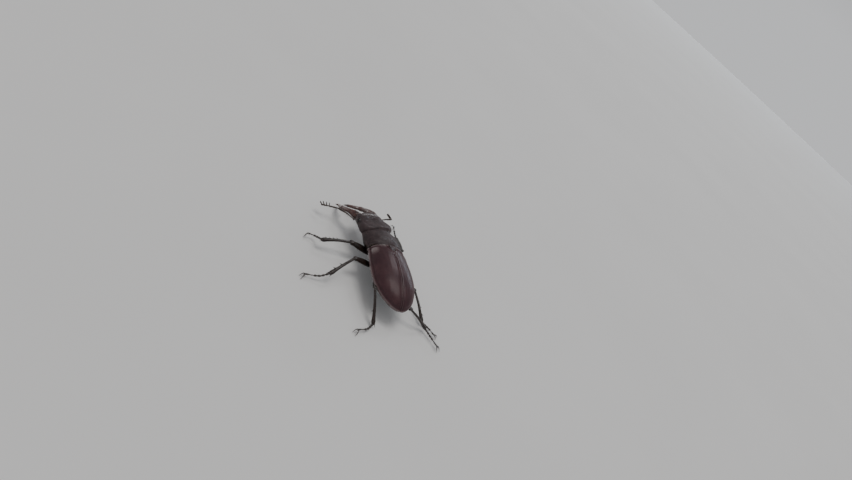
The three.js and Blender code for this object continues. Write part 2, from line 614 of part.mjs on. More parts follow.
const eyeRooms = Object.values(SIDES).map((side) => eyeball(side, CLEARANCE));
headGroup.add(mesh("head", carve(skull(0, 14), ...eyeRooms), FINISHES.shell));
headGroup.add(mesh("labrum", carve(labrum(), skullRoom), FINISHES.mandible));
for (const [sideName, side] of Object.entries(SIDES)) {
  headGroup.add(mesh(`mandible_${sideName}`, carve(mandible(side), skullRoom), FINISHES.mandible));
  headGroup.add(mesh(`eye_${sideName}`, eyeball(side, 0), FINISHES.eye));
  const feeler = antenna(...FEELER_POSES[sideName].map(point));
  headGroup.add(mesh(`scape_${sideName}`, carve(feeler.scape, skullRoom), FINISHES.feeler));
  headGroup.add(mesh(`funicle_${sideName}`, feeler.funicle, FINISHES.feeler));
  headGroup.add(mesh(`antenna_club_${sideName}`, feeler.club, FINISHES.feeler));
  for (const [name, { joints, width }] of Object.entries(PALPS)) {
    const body = palp(joints.map((triple) => sided(triple, side)), width);
    headGroup.add(mesh(`${name}_${sideName}`, carve(body, skullRoom), FINISHES.feeler));
  }
}
beetle.add(headGroup);

for (const { name, parts } of legs) {
  for (const piece of ["coxa", "femur", "tibia", "tarsus", "claws"]) {
    beetle.add(mesh(`${piece}_${name}`, parts[piece], FINISHES.leg));
  }
}

// The origin is on the ground, under the middle of the beetle's bounding box.
const extent = new THREE.Box3().setFromObject(beetle, true);
const middle = extent.getCenter(new THREE.Vector3());
beetle.position.set(-middle.x, -middle.y, -extent.min.z);

export default beetle;
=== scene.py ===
"""A male stag beetle at life size, as a museum model: every shell plate, limb, feeler and hair.

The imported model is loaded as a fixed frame. Each sub-assembly is a class that builds finer pieces in the
same places and dresses them. Places are written (forward, left, up) in millimetres, forward of the wing
cases' base and above the ground, and `Placing` turns them into the frame's metres. Shell plates are
surfaces worked out from profiles. Limbs, jaws and the head are modelled like clay, from horns and balls
joined with fillets, and then skinned. Hairs are thin solid spikes.
"""

import logging
import math
from dataclasses import dataclass, field
from enum import Enum
from functools import cached_property
from typing import Callable, Iterable, Sequence

import bpy
import numpy as np
from mathutils import Matrix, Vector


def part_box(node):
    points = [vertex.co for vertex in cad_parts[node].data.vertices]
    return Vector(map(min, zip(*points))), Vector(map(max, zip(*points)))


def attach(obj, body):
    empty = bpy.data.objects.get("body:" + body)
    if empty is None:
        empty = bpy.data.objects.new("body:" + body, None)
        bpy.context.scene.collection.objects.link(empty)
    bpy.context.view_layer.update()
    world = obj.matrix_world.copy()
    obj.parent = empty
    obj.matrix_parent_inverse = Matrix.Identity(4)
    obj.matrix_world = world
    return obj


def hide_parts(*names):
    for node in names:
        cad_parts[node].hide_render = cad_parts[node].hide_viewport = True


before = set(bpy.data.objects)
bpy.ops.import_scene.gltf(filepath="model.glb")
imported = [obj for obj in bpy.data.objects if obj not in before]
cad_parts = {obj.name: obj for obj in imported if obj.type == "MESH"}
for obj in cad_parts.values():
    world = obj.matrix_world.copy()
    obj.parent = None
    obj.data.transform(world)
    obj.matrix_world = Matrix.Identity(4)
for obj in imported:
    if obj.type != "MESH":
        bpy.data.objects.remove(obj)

Array = np.ndarray
Material = bpy.types.Material
Socket = bpy.types.NodeSocket
Triple = tuple[float, float, float]
Spot = tuple[float, float]
Relief = Callable[[Array, Array], Array]
Knots = tuple[Spot, ...]

MM = 0.001  # metres in a millimetre
LEFT: Triple = (0.0, 1.0, 0.0)
UP: Triple = (0.0, 0.0, 1.0)
FORWARD: Triple = (1.0, 0.0, 0.0)
LOG = logging.getLogger("stag_beetle")
FLAT_SHADE = 0.5  # the shade of a flat place: edges have more and hollows less
INNER_SHADE = 0.6  # the shade of a shell's inner side
LINE_SAMPLES = 72  # points along a smooth line
SAMPLES_AT = np.linspace(0, 1, LINE_SAMPLES)
SPAN_SAMPLES = 40  # points worked out between two of its knots


# ---------------- measures
def profile(knots: Knots) -> Callable[[Array], Array]:
    """A smooth function through knots, level beyond the first and the last.

    Args:
        knots: pairs of position and value, in order.

    Returns:
        A function of an array of positions.
    """
    at = np.array([k[0] for k in knots], float)
    value = np.array([k[1] for k in knots], float)
    slope = np.zeros(len(at))
    slope[1:-1] = (value[2:] - value[:-2]) / (at[2:] - at[:-2])

    def smooth(position: Array) -> Array:
        """The value at each position.

        Args:
            position: the positions.

        Returns:
            The values.
        """
        x = np.clip(np.asarray(position, float), at[0], at[-1])
        i = np.clip(np.searchsorted(at, x, side="right") - 1, 0, len(at) - 2)
        span = at[i + 1] - at[i]
        t = (x - at[i]) / span
        rise = t * t * (3 - 2 * t)
        tangents = slope[i] * t * (1 - t) ** 2 - slope[i + 1] * t * t * (1 - t)
        return value[i] + (value[i + 1] - value[i]) * rise + tangents * span

    return smooth


def scaled(knots: Knots, size: float) -> Knots:
    """The same knots with every value times a size."""
    return tuple((at, size * value) for at, value in knots)


def mirrored(points: Iterable[Triple], side: int) -> list[Triple]:
    """Points given for the left side, on the side asked for."""
    return [(forward, side * left, up) for forward, left, up in points]


def turns(count: int) -> Array:
    """Angles evenly round a full turn, as one row."""
    return np.linspace(0, 2 * np.pi, count, endpoint=False)[None, :]


def smoothstep(low: float, high: float, x: Array) -> Array:
    """A smooth ramp from 0 at `low` to 1 at `high`."""
    t = np.clip((x - low) / (high - low), 0, 1)
    return t * t * (3 - 2 * t)


def bell(x: Array, width: float) -> Array:
    """A rounded hill, 1 at zero and near 0 past `width`."""
    return np.exp(-((x / width) ** 2) * 2.5)


def bend(x: Array, power: float) -> Array:
    """Raises the size of x to a power and keeps its sign."""
    return np.sign(x) * np.abs(x) ** power


def unit(v: Array) -> Array:
    """Vectors scaled to length one."""
    return v / np.maximum(np.linalg.norm(v, axis=-1, keepdims=True), 1e-12)


def ripple(p: Array, size: float, seed: float) -> Array:
    """A gentle unevenness between about -1 and 1.

    Args:
        p: points, in millimetres.
        size: the width of one swell, in millimetres.
        seed: picks one of many patterns.

    Returns:
        One value for each point.
    """
    q = p / size
    total = np.zeros(p.shape[:-1])
    weights = (1.0, 0.6, 0.35)
    for k, weight in enumerate(weights):
        turn = seed + 1.7 * k
        way = np.array([math.cos(turn), math.sin(turn), math.cos(2.3 * turn)])
        total += weight * np.sin((1.0 + 0.8 * k) * (q @ way) + 2.1 * turn)
    return total / sum(weights)


@dataclass(frozen=True)
class Placing:
    """Where a sub-assembly's own axes stand: its origin, turned to the left and tipped nose down."""

    origin: Triple = (0.0, 0.0, 0.0)
    yaw: float = 0.0
    pitch: float = 0.0

    @cached_property
    def turn(self) -> Array:
        """The rotation from own axes to the beetle's, acting on (left, back, up).

        Returns:
            The rotation.
        """
        yaw, pitch = math.radians(self.yaw), math.radians(self.pitch)
        about_up = Matrix.Rotation(yaw, 3, "Z")
        about_side = Matrix.Rotation(pitch, 3, "X")
        return np.array(about_up @ about_side)

    def beetle(self, points: Array) -> Array:
        """Own (forward, left, up) points as the beetle's (forward, left, up).

        Args:
            points: the points.

        Returns:
            The points.
        """
        p = np.atleast_2d(np.asarray(points, float))
        turned = np.stack([p[:, 1], -p[:, 0], p[:, 2]], 1) @ self.turn.T
        return np.stack([-turned[:, 1], turned[:, 0], turned[:, 2]], 1) + np.array(self.origin)

    def metres(self, points: Array) -> Array:
        """Own points in millimetres as the frame's metres."""
        p = self.beetle(points)
        return np.stack([p[:, 1], -p[:, 0], p[:, 2]], 1) * MM + FRAME_SHIFT


def frame_shift() -> Array:
    """The frame's own place of the beetle's zero: the wing cases' front edge, on the middle line.

    Returns:
        The shift, in metres.
    """
    low_left, high_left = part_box("elytron_left")
    low_right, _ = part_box("elytron_right")
    across = (low_right.x + high_left.x) / 2
    return np.array([across, min(low_left.y, low_right.y), 0.0])


FRAME_SHIFT = frame_shift()
BODY = Placing()
PROTHORAX = Placing(yaw=5.0)
HEAD = Placing(origin=(9.1, 0.8, 8.8), yaw=20.0, pitch=5.0)


# ---------------- pieces
class Slot(Enum):
    """The record's material slots."""

    WING_CASE = "wing_case"
    SHELL = "shell"
    UNDERSIDE = "underside"
    JAW = "jaw"
    EYE = "eye"
    FEELER = "feeler"
    LEG = "leg"


@dataclass
class Skin:
    """A mesh on the way to becoming a piece, in its placing's own millimetres."""

    points: Array
    faces: list[Sequence[int]] | Array
    shade: Array | None = None
    patches: Array | None = None

    def piece(
        self, name: str, placing: Placing, material: Material, slot: Slot,
        stands_for: Iterable[str] = (),
    ) -> bpy.types.Object:
        """Args:
            name: the piece's name.
            placing: the axes that the points are in.
            material: its finish.
            slot: the record's slot for that finish; not used.
            stands_for: the CAD nodes that it replaces.

        Returns:
            The new object.
        """
        mesh = bpy.data.meshes.new(name)
        faces = self.faces.tolist() if isinstance(self.faces, np.ndarray) else self.faces
        mesh.from_pydata(placing.metres(self.points).tolist(), [], faces)
        mesh.validate()
        mesh.shade_smooth()
        if self.shade is not None:
            layer = mesh.attributes.new("shade", "FLOAT", "POINT")
            layer.data.foreach_set("value", np.clip(self.shade, 0, 1).astype(np.float32))
        if self.patches is not None:
            corners = np.zeros(len(mesh.loops), np.int32)
            mesh.loops.foreach_get("vertex_index", corners)
            layer = mesh.uv_layers.new(name="OFBake")
            layer.data.foreach_set("uv", self.patches[corners].astype(np.float32).ravel())
        mesh.materials.append(material)
        made = bpy.data.objects.new(name, mesh)
        bpy.context.scene.collection.objects.link(made)
        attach(made, "root")
        if stands_for:
            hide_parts(*stands_for)
        LOG.info("%s: %d faces", name, len(mesh.polygons))
        return made


def grid_faces(rows: int, columns: int, start: int = 0, closed: bool = False) -> list[tuple[int, ...]]:
    """The quads of a grid of points laid row by row.

    Args:
        rows: the number of rows.
        columns: the number of points in a row.
        start: the first point's index.
        closed: joins each row's end to its start.

    Returns:
        The quads.
    """
    steps = columns if closed else columns - 1
    quads = []
    for r in range(rows - 1):
        for c in range(steps):
            d = (c + 1) % columns
            here, there = start + r * columns, start + (r + 1) * columns
            quads.append((here + c, here + d, there + d, there + c))
    return quads


def plate(outer: Array, inner: Array, shade: Array | None = None) -> Skin:
    """A closed shell between an outer and an inner grid of points.

    Args:
        outer: the outer surface, shaped (rows, columns, 3).
        inner: the inner surface, of the same shape.
        shade: one value for each outer point.

    Returns:
        The closed shell.
    """
    rows, columns = outer.shape[:2]
    count = rows * columns
    points = np.vstack([outer.reshape(-1, 3), inner.reshape(-1, 3)])
    faces = grid_faces(rows, columns)
    faces += [tuple(reversed([i + count for i in quad])) for quad in grid_faces(rows, columns)]
    border = [r * columns for r in range(rows)]
    border += [(rows - 1) * columns + c for c in range(1, columns)]
    border += [r * columns + columns - 1 for r in range(rows - 2, -1, -1)]
    border += [c for c in range(columns - 2, 0, -1)]
    for a, b in zip(border, border[1:] + border[:1]):
        faces.append((a, b, b + count, a + count))
    both = None if shade is None else np.concatenate([shade.ravel(), np.full(count, INNER_SHADE)])
    return Skin(points, facing_out(points, faces), both)


def facing_out(points: Array, faces: list[tuple[int, ...]]) -> list[tuple[int, ...]]:
    """The same faces, turned so that the closed body they bound has a positive volume.

    Args:
        points: the corners.
        faces: the faces.

    Returns:
        The faces.
    """
    quads = np.array([f if len(f) == 4 else (*f, f[-1]) for f in faces])
    p = points - points.mean(0)
    a, b, c, d = (p[quads[:, i]] for i in range(4))
    volume = (np.cross(a, b) * c).sum() + (np.cross(a, c) * d).sum()
    return faces if volume > 0 else [tuple(reversed(f)) for f in faces]


def body_of_rings(points: Array, shade: Array | None = None) -> Skin:
    """A closed body through rings of points, shaped (rings, sides, 3), with a fan over each end.

    Args:
        points: the rings.
        shade: their shade.

    Returns:
        The closed body.
    """
    rings, sides = points.shape[:2]
    faces = grid_faces(rings, sides, closed=True)
    ends = np.stack([points[0].mean(0), points[-1].mean(0)])
    first, last = rings * sides, rings * sides + 1
    for c in range(sides):
        d = (c + 1) % sides
        faces.append((first, d, c))
        faces.append((last, (rings - 1) * sides + c, (rings - 1) * sides + d))
    every = np.vstack([points.reshape(-1, 3), ends])
    both = None if shade is None else np.concatenate([shade.ravel(), [FLAT_SHADE, FLAT_SHADE]])
    return Skin(every, facing_out(every, faces), both)


def normals_of(surface: Array, outward: Array) -> Array:
    """The unit normals of a grid of points, turned to the side that `outward` points to.

    Args:
        surface: the grid, shaped (rows, columns, 3).
        outward: rough directions.

    Returns:
        The normals.
    """
    along, across = np.gradient(surface, axis=0), np.gradient(surface, axis=1)
    normal = unit(np.cross(along, across))
    return np.where((normal * outward).sum() < 0, -normal, normal)


def rolled(distance: Array, radius: float) -> Array:
    """How far a plate's skin drops towards its edge, when the edge is rounded to a radius."""
    x = 1 - np.clip(distance / radius, 0, 1)
    return radius * (1 - np.sqrt(1 - x * x))


def crowded(count: int) -> Array:
    """Shares from 0 to 1 that lie closer together at both ends."""
    return 0.5 - 0.5 * np.cos(np.pi * np.linspace(0, 1, count))


# ---------------- clay
class Line:
    """A smooth line through given points, resampled evenly."""

    def __init__(self, knots: Sequence[Triple] | Array) -> None:
        """Passes the line through its knots.

        Args:
            knots: the points, in order.
        """
        p = np.array(knots, float)
        ends = np.vstack([2 * p[0] - p[1], p, 2 * p[-1] - p[-2]])
        dense = np.vstack([self._span(ends[i : i + 4]) for i in range(len(p) - 1)])
        steps = np.linalg.norm(np.diff(dense, axis=0), axis=1)
        walked = np.concatenate([[0], np.cumsum(steps)])
        even = np.linspace(0, walked[-1], LINE_SAMPLES)
        self.length = walked[-1]
        self.points = np.stack([np.interp(even, walked, dense[:, k]) for k in range(3)], 1)
        self.tangents = unit(np.gradient(self.points, axis=0))

    @staticmethod
    def _span(q: Array) -> Array:
        """The stretch between the middle two of four knots.

        Args:
            q: the four knots.

        Returns:
            The points.
        """
        d = np.sqrt(np.linalg.norm(np.diff(q, axis=0), axis=1))
        start = (q[1] - q[0]) / d[0] - (q[2] - q[0]) / (d[0] + d[1]) + (q[2] - q[1]) / d[1]
        end = (q[2] - q[1]) / d[1] - (q[3] - q[1]) / (d[1] + d[2]) + (q[3] - q[2]) / d[2]
        t = np.linspace(0, 1, SPAN_SAMPLES)[:, None]
        rise = t * t * (3 - 2 * t)
        tangents = start * t * (1 - t) ** 2 - end * t * t * (1 - t)
        return q[1] + (q[2] - q[1]) * rise + tangents * d[1]

    def at(self, share: float | Array) -> Array:
        """The points at shares of the length."""
        return np.stack([np.interp(share, SAMPLES_AT, row) for row in self.points.T], -1)

    def way(self, share: float | Array) -> Array:
        """The directions at shares of the length."""
        return unit(np.stack([np.interp(share, SAMPLES_AT, row) for row in self.tangents.T], -1))


@dataclass(frozen=True)
class Lump:
    """A shape given by its distance, below zero inside, and by the corners of the box that holds it."""

    distance: Callable[[Array], Array]
    low: Array
    high: Array


@dataclass(frozen=True)
class Limb:
    """A tapered length with an oval section along a smooth line.

    `wide` gives half the width at shares of the length, `flat` the depth as a share of the width, and
    `broad` the direction that the width lies along. `relief` raises the skin, from the share and the
    place across and up in the section.
    """

    knots: Sequence[Triple] | Array
    wide: Knots
    flat: float = 1.0
    broad: Triple | Array = LEFT
    relief: Callable[[Array, Array, Array], Array] | None = None

    @cached_property
    def line(self) -> Line:
        """Its middle line."""
        return Line(self.knots)

    @cached_property
    def axes(self) -> tuple[Array, Array]:
        """The directions across and up, at each sample of the line.

        Returns:
            Both directions.
        """
        tangents = self.line.tangents
        broad = np.asarray(self.broad, float)
        side = unit(broad - tangents * (tangents @ broad)[:, None])
        return side, np.cross(tangents, side)

    def spot(self, share: Array, angle: Array) -> tuple[Array, Array]:
        """Places on the skin.

        Args:
            share: how far along, from 0 to 1.
            angle: how far round from the broad direction, in radians.

        Returns:
            The points and the directions that face out of the skin there.
        """
        i = np.clip(np.round(share * (LINE_SAMPLES - 1)).astype(int), 0, LINE_SAMPLES - 1)
        side, up = self.axes[0][i], self.axes[1][i]
        wide = profile(self.wide)(share)[:, None]
        c, s = np.cos(angle)[:, None], np.sin(angle)[:, None]
        point = self.line.at(share) + side * c * wide + up * s * wide * self.flat
        return point, unit(side * c * self.flat + up * s)

    def lump(self) -> Lump:
        """The limb as clay.

        Returns:
            The lump.
        """
        line, (side, up) = self.line, self.axes
        half_square = 0.5 * (line.points**2).sum(1)
        last = len(line.points) - 1
        step = line.length / last
        wide_at = profile(self.wide)

        def distance(p: Array) -> Array:
            """How far each point is outside the limb.

            Args:
                p: the points.

            Returns:
                The distances.
            """
            near = np.argmax(p @ line.points.T - half_square, axis=1)
            offset = p - line.points[near]
            ahead = (offset * line.tangents[near]).sum(1)
            behind, before = np.where(near == 0, 0, -step / 2), np.where(near == last, 0, step / 2)
            taken = np.clip(ahead, behind, before)
            share = (near * step + taken) / line.length
            a = np.maximum(wide_at(share), 0.01)
            b = a * self.flat
            c = np.minimum(a, b)
            x, y = (offset * side[near]).sum(1) / a, (offset * up[near]).sum(1) / b
            z = (ahead - taken) / c
            reach = np.sqrt(x * x + y * y + z * z)
            slope = np.sqrt((x / a) ** 2 + (y / b) ** 2 + (z / c) ** 2)
            far = np.where(slope > 1e-9, reach * (reach - 1) / np.maximum(slope, 1e-9), -c)
            return far if self.relief is None else far - self.relief(share, x, y)

        margin = max(w for _, w in self.wide) * max(1.0, self.flat) + 0.2
        return Lump(distance, line.points.min(0) - margin, line.points.max(0) + margin)


def ball(centre: Triple | Array, radii: Triple, axes: Array | None = None) -> Lump:
    """An egg of clay.

    Args:
        centre: its middle.
        radii: its three half lengths.
        axes: three unit rows that the half lengths lie along, or none for forward, left and up.

    Returns:
        The lump.
    """
    middle, size = np.array(centre, float), np.array(radii, float)
    turn = np.eye(3) if axes is None else np.asarray(axes, float)

    def distance(p: Array) -> Array:
        """How far each point is outside the egg.

        Args:
            p: the points.

        Returns:
            The distances.
        """
        q = (p - middle) @ turn.T
        reach = np.linalg.norm(q / size, axis=1)
        slope = np.linalg.norm(q / size**2, axis=1)
        return np.where(slope > 1e-9, reach * (reach - 1) / np.maximum(slope, 1e-9), -size.min())

    return Lump(distance, middle - size.max(), middle + size.max())


def beyond(point: Triple | Array, way: Triple | Array) -> Lump:
    """Everything past a flat face at a point, on the side that `way` points to."""
    p0, n = np.array(point, float), unit(np.array(way, float))
    return Lump(lambda p: (p0 - p) @ n, np.full(3, -np.inf), np.full(3, np.inf))


def evened(rough: Callable[[Array], Array], low: Triple, high: Triple) -> Lump:
    """A lump from any smooth field that is below zero inside, scaled so that it grows as distance does.

    Args:
        rough: the field.
        low: the near corner of its box.
        high: its far corner.

    Returns:
        The lump.
    """
    h = 0.02

    def distance(p: Array) -> Array:
        """The field over the length of its own slope.

        Args:
            p: the points.

        Returns:
            The distances.
        """
        here = rough(p)
        slope = np.stack([rough(p + h * axis) - here for axis in np.eye(3)], 1) / h
        return here / np.maximum(np.linalg.norm(slope, axis=1), 0.05)

    return Lump(distance, np.array(low, float), np.array(high, float))


class Work(Enum):
    """What a step of modelling does with its lump."""

    ADD = 1
    CUT = -1


@dataclass
class Clay:
    """A shape modelled in steps, each lump added or cut away with a fillet."""

    steps: list[tuple[Lump, float, Work]] = field(default_factory=list)
    relief: Callable[[Array], Array] | None = None

    BLOCK = 4  # fine cells along the side of a coarse one
    BATCH = 60_000  # points worked out at once
    FAR = 9.0  # the distance before anything is added
    REACH = 1.4  # how many coarse cells off the skin may lie
    EDGE_SHADE = 0.06  # how much shade a bulge adds
    CORNERS = np.array([(i, j, k) for i in (0, 1) for j in (0, 1) for k in (0, 1)])

    def add(self, lump: Lump | Limb, fillet: float = 0.15) -> "Clay":
        """Adds a lump and returns the clay."""
        self.steps.append((lump.lump() if isinstance(lump, Limb) else lump, fillet, Work.ADD))
        return self

    def cut(self, lump: Lump | Limb, fillet: float = 0.08) -> "Clay":
        """Cuts a lump away and returns the clay."""
        self.steps.append((lump.lump() if isinstance(lump, Limb) else lump, fillet, Work.CUT))
        return self

    def _distance(self, p: Array, reach: float) -> Array:
        """How far some points are outside, where lumps further off than `reach` are passed over.

        Args:
            p: the points.
            reach: how near the result has to be right.

        Returns:
            The distances.
        """
        d = np.full(len(p), self.FAR)
        for lump, fillet, work in self.steps:
            margin = fillet + reach
            near = np.all((p > lump.low - margin) & (p < lump.high + margin), axis=1)
            if not near.any():
                continue
            a, b = work.value * d[near], lump.distance(p[near])
            close = np.maximum(fillet - np.abs(a - b), 0)
            d[near] = work.value * (np.minimum(a, b) - close * close / (4 * fillet))
        return d if self.relief is None else d - self.relief(p)

    def distance(self, p: Array, reach: float = 0.05) -> Array:
        """How far each point is outside the shape."""
        parts = [self._distance(p[i : i + self.BATCH], reach) for i in range(0, len(p), self.BATCH)]
        return np.concatenate(parts) if parts else np.zeros(0)

    def skin(self, cell: float) -> Skin:
        """Covers the shape with a mesh.

        Args:
            cell: the width of one face, in millimetres.

        Returns:
            The skin. Its shade is 0.5 on flat places, higher on edges and lower in hollows.
        """
        cell = cell
        added = [lump for lump, _, work in self.steps if work is Work.ADD]
        low = np.min([lump.low for lump in added], 0) - 2 * cell
        high = np.max([lump.high for lump in added], 0) + 2 * cell
        values = self._values(low, high, cell)
        points, faces = self._net(values)
        points = low + points * cell
        for _ in range(2):
            here, slope, _ = self._slope(points, 0.3 * cell)
            move = here[:, None] * slope / np.maximum((slope**2).sum(1), 0.1)[:, None]
            size = np.linalg.norm(move, axis=1, keepdims=True)
            points = points - move * np.minimum(1, 0.8 * cell / np.maximum(size, 1e-9))
        bulge = self._slope(points, 0.1)[2]
        return Skin(points, faces, np.clip(FLAT_SHADE + self.EDGE_SHADE * bulge, 0, 1))

    def _values(self, low: Array, high: Array, cell: float) -> Array:
        """The distances at the corners of fine cells, worked out only where the skin may pass.

        Args:
            low: the near corner of the grid.
            high: its far corner.
            cell: the width of a fine cell.

        Returns:
            The grid of distances.
        """
        block = self.BLOCK
        coarse = block * cell
        count = np.ceil((high - low) / coarse).astype(int)
        nodes = np.indices(count + 1).reshape(3, -1).T
        rough = self.distance(low + nodes * coarse, self.REACH * coarse).reshape(count + 1)
        ends = [rough[i : count[0] + i, j : count[1] + j, k : count[2] + k] for i, j, k in self.CORNERS]
        near = np.abs(ends).min(0) < self.REACH * coarse
        values = np.sign(ends[0])
        for axis in range(3):
            values = np.repeat(values, block, axis)
        values = np.pad(values, [(0, 1)] * 3, mode="edge")
        wanted = np.zeros(values.shape, bool)
        inner = np.indices((block + 1,) * 3).reshape(3, -1).T
        spots = (np.argwhere(near)[:, None] * block + inner).reshape(-1, 3)
        wanted[spots[:, 0], spots[:, 1], spots[:, 2]] = True
        values[wanted] = self.distance(low + np.argwhere(wanted) * cell)
        return values

    def _net(self, values: Array) -> tuple[Array, Array]:
        """One point in each cell that the skin passes, and a face round each edge that it crosses.

        Args:
            values: the grid of distances.

        Returns:
            The points, in cells, and the faces.
        """
        inside = values < 0
        size = np.array(values.shape) - 1
        views = [(slice(i, size[0] + i), slice(j, size[1] + j), slice(k, size[2] + k))
                 for i, j, k in self.CORNERS]
        full = sum(inside[v].astype(np.int8) for v in views)
        mixed = (full > 0) & (full < 8)
        number = np.full(mixed.shape, -1)
        number[mixed] = np.arange(mixed.sum())
        ends = np.stack([values[v][mixed] for v in views], 1)
        total, hits = np.zeros((len(ends), 3)), np.zeros((len(ends), 1))
        for a in range(8):
            for b in range(a + 1, 8):
                if np.abs(self.CORNERS[a] - self.CORNERS[b]).sum() != 1:
                    continue
                crossed = (ends[:, a] < 0) != (ends[:, b] < 0)
                t = ends[crossed, a] / (ends[crossed, a] - ends[crossed, b])
                total[crossed] += self.CORNERS[a] + t[:, None] * (self.CORNERS[b] - self.CORNERS[a])
                hits[crossed] += 1
        points = np.argwhere(mixed) + total / hits
        faces = []
        for axis in range(3):
            u, v = np.eye(3, dtype=int)[(axis + 1) % 3], np.eye(3, dtype=int)[(axis + 2) % 3]
            first = np.take(inside, range(size[axis]), axis)
            second = np.take(inside, range(1, size[axis] + 1), axis)
            at = np.argwhere(first != second)
            quads = np.stack([number[tuple((at - d).T)] for d in (u + v, v, 0 * u, u)], 1)
            leaving = first[tuple(at.T)]
            quads[~leaving] = quads[~leaving][:, ::-1]
            faces.append(quads)
        return points, np.vstack(faces)

    def _slope(self, p: Array, h: float) -> tuple[Array, Array, Array]:
        """The distance, its slope and its bulge at each point.

        Args:
            p: the points.
            h: the step to either side.

        Returns:
            All three.
        """
        here = self.distance(p)
        ahead = np.stack([self.distance(p + h * axis) for axis in np.eye(3)], 1)
        behind = np.stack([self.distance(p - h * axis) for axis in np.eye(3)], 1)
        return here, (ahead - behind) / (2 * h), (ahead + behind - 2 * here[:, None]).sum(1) / h**2


# ---------------- hair
@dataclass
class Coat:
    """Hairs that make one piece: thin bent spikes, each with its own small patch of the coat's map."""

    parts: int
    rng: np.random.Generator
    corners: list[Array] = field(default_factory=list)
    patches: list[Array] = field(default_factory=list)

    PATCH = 0.003  # the width of one hair's patch on the map
    RINGS = ((0.0, 1.0), (0.5, 0.8))  # shares of the length and of the width
    SIDES_AT = (0.0, 2.1, 4.2)  # the angles of a hair's three sides, in radians
    FACES = ((2, 1, 0), (0, 1, 4, 3), (1, 2, 5, 4), (2, 0, 3, 5), (3, 4, 6), (4, 5, 6), (5, 3, 6))
    SHADES = (0.0, 0.0, 0.0, 0.5, 0.5, 0.5, 1.0)  # from root to tip, one for each corner

    @classmethod
    def seeded(cls: "type[Coat]", parts: int, seed: int) -> "tuple[Coat, np.random.Generator]":
        """A bare coat with a source of chance of its own, and a second one for its roots."""
        return cls(parts, np.random.default_rng(seed)), np.random.default_rng(seed + 1)

    def grow(
        self, part: int, roots: Array, ways: Array, places: Array, length: tuple[float, float],
        thick: float, bend_to: Triple | Array = (0.0, 0.0, 0.0), stray: float = 0.2,
    ) -> None:
        """Plants hairs.

        Args:
            part: which band of the map they lie in.
            roots: their roots, in millimetres.
            ways: the directions that they leave in.
            places: their roots' places on the unwrapped skin, from 0 to 1 both ways.
            length: the shortest and the longest.
            thick: the width at the root.
            bend_to: how far the tip is carried off, as a share of the length.
            stray: how much each leaves its direction.
        """
        count = len(roots)
        way = unit(ways + stray * self.rng.normal(size=(count, 3)))
        long = self.rng.uniform(*length, size=(count, 1))
        bent = np.asarray(bend_to, float) * long
        side = unit(np.cross(way, [0.31, 0.52, 0.79]))
        other = np.cross(way, side)
        rows = []
        for share, width in self.RINGS:
            middle = roots + way * long * share + bent * share * share
            for turn in self.SIDES_AT:
                ring = side * math.cos(turn) + other * math.sin(turn)
                rows.append(middle + ring * thick * width / 2)
        rows.append(roots + way * long + bent)
        self.corners.append(np.stack(rows, 1))
        inside = [(k / 3, row / 2) for row in (0, 1) for k in range(3)] + [(0.5, 1.0)]
        spread = np.stack([places[:, 0], (part + places[:, 1]) / self.parts], 1) * (1 - self.PATCH)
        self.patches.append(spread[:, None] + self.PATCH * np.array(inside))

    def skin(self) -> Skin:
        """All the hairs as one mesh, shaded from root to tip.

        Returns:
            The mesh.
        """
        corners = np.concatenate(self.corners)
        count, each = corners.shape[:2]
        faces = [tuple(i + each * n for i in f) for n in range(count) for f in self.FACES]
        patches = np.concatenate(self.patches).reshape(-1, 2)
        return Skin(corners.reshape(-1, 3), faces, np.tile(self.SHADES, count), patches)


# ---------------- finishes
Colour = tuple[float, float, float]
PER_MM = 1 / MM  # waves in a metre for one in a millimetre


class Nodes:
    """Short hand for building one node tree."""

    SHARE, FIRST, SECOND, BLENDED = 0, 6, 7, 2  # a colour mix's sockets

    def __init__(self, tree: bpy.types.NodeTree) -> None:
        """Starts on a tree."""
        self.tree = tree

    def add(self, kind: str, inputs: dict | None = None, **settings: object) -> bpy.types.Node:
        """Adds a node.

        Args:
            kind: the node's type, without its prefix.
            inputs: for each input, a value or the output to join to it.
            settings: the node's own properties.

        Returns:
            The node.
        """
        node = self.tree.nodes.new(kind if kind.startswith("NodeGroup") else "ShaderNode" + kind)
        for name, value in settings.items():
            setattr(node, name, value)
        for name, value in (inputs or {}).items():
            self.join(node.inputs[name], value)
        return node

    def join(self, socket: Socket, value: object) -> None:
        """Joins an output to an input, or sets the input's value.

        Args:
            socket: the input.
            value: the output or the value.
        """
        if isinstance(value, Socket):
            self.tree.links.new(value, socket)
        elif isinstance(value, tuple) and socket.type == "RGBA":
            socket.default_value = (*value, 1.0)
        else:
            socket.default_value = value

    def math(self, operation: str, a: object, b: object = 0.0, c: object = 0.0) -> Socket:
        """The result of one sum."""
        return self.add("Math", {0: a, 1: b, 2: c}, operation=operation).outputs[0]

    def blend(self, share: object, a: object, b: object) -> Socket:
        """A colour between two.

        Args:
            share: how much of the second.
            a: the first colour.
            b: the second colour.

        Returns:
            The mixed colour.
        """
        node = self.add("Mix", data_type="RGBA")
        for socket, value in ((self.SHARE, share), (self.FIRST, a), (self.SECOND, b)):
            self.join(node.inputs[socket], value)
        return node.outputs[self.BLENDED]

    def between(self, value: object, low: object, high: object, start: object = 0.0,
                end: object = 1.0) -> Socket:
        """A value carried from one range to another, and kept in it."""
        inputs = {"Value": value, "From Min": low, "From Max": high, "To Min": start, "To Max": end}
        return self.add("MapRange", inputs).outputs[0]

    def place(self) -> Socket:
        """Where a point is on the model, in metres."""
        return self.add("TexCoord").outputs["Object"]


Fill = Callable[[Nodes, dict[str, Socket]], dict[str, Socket]]


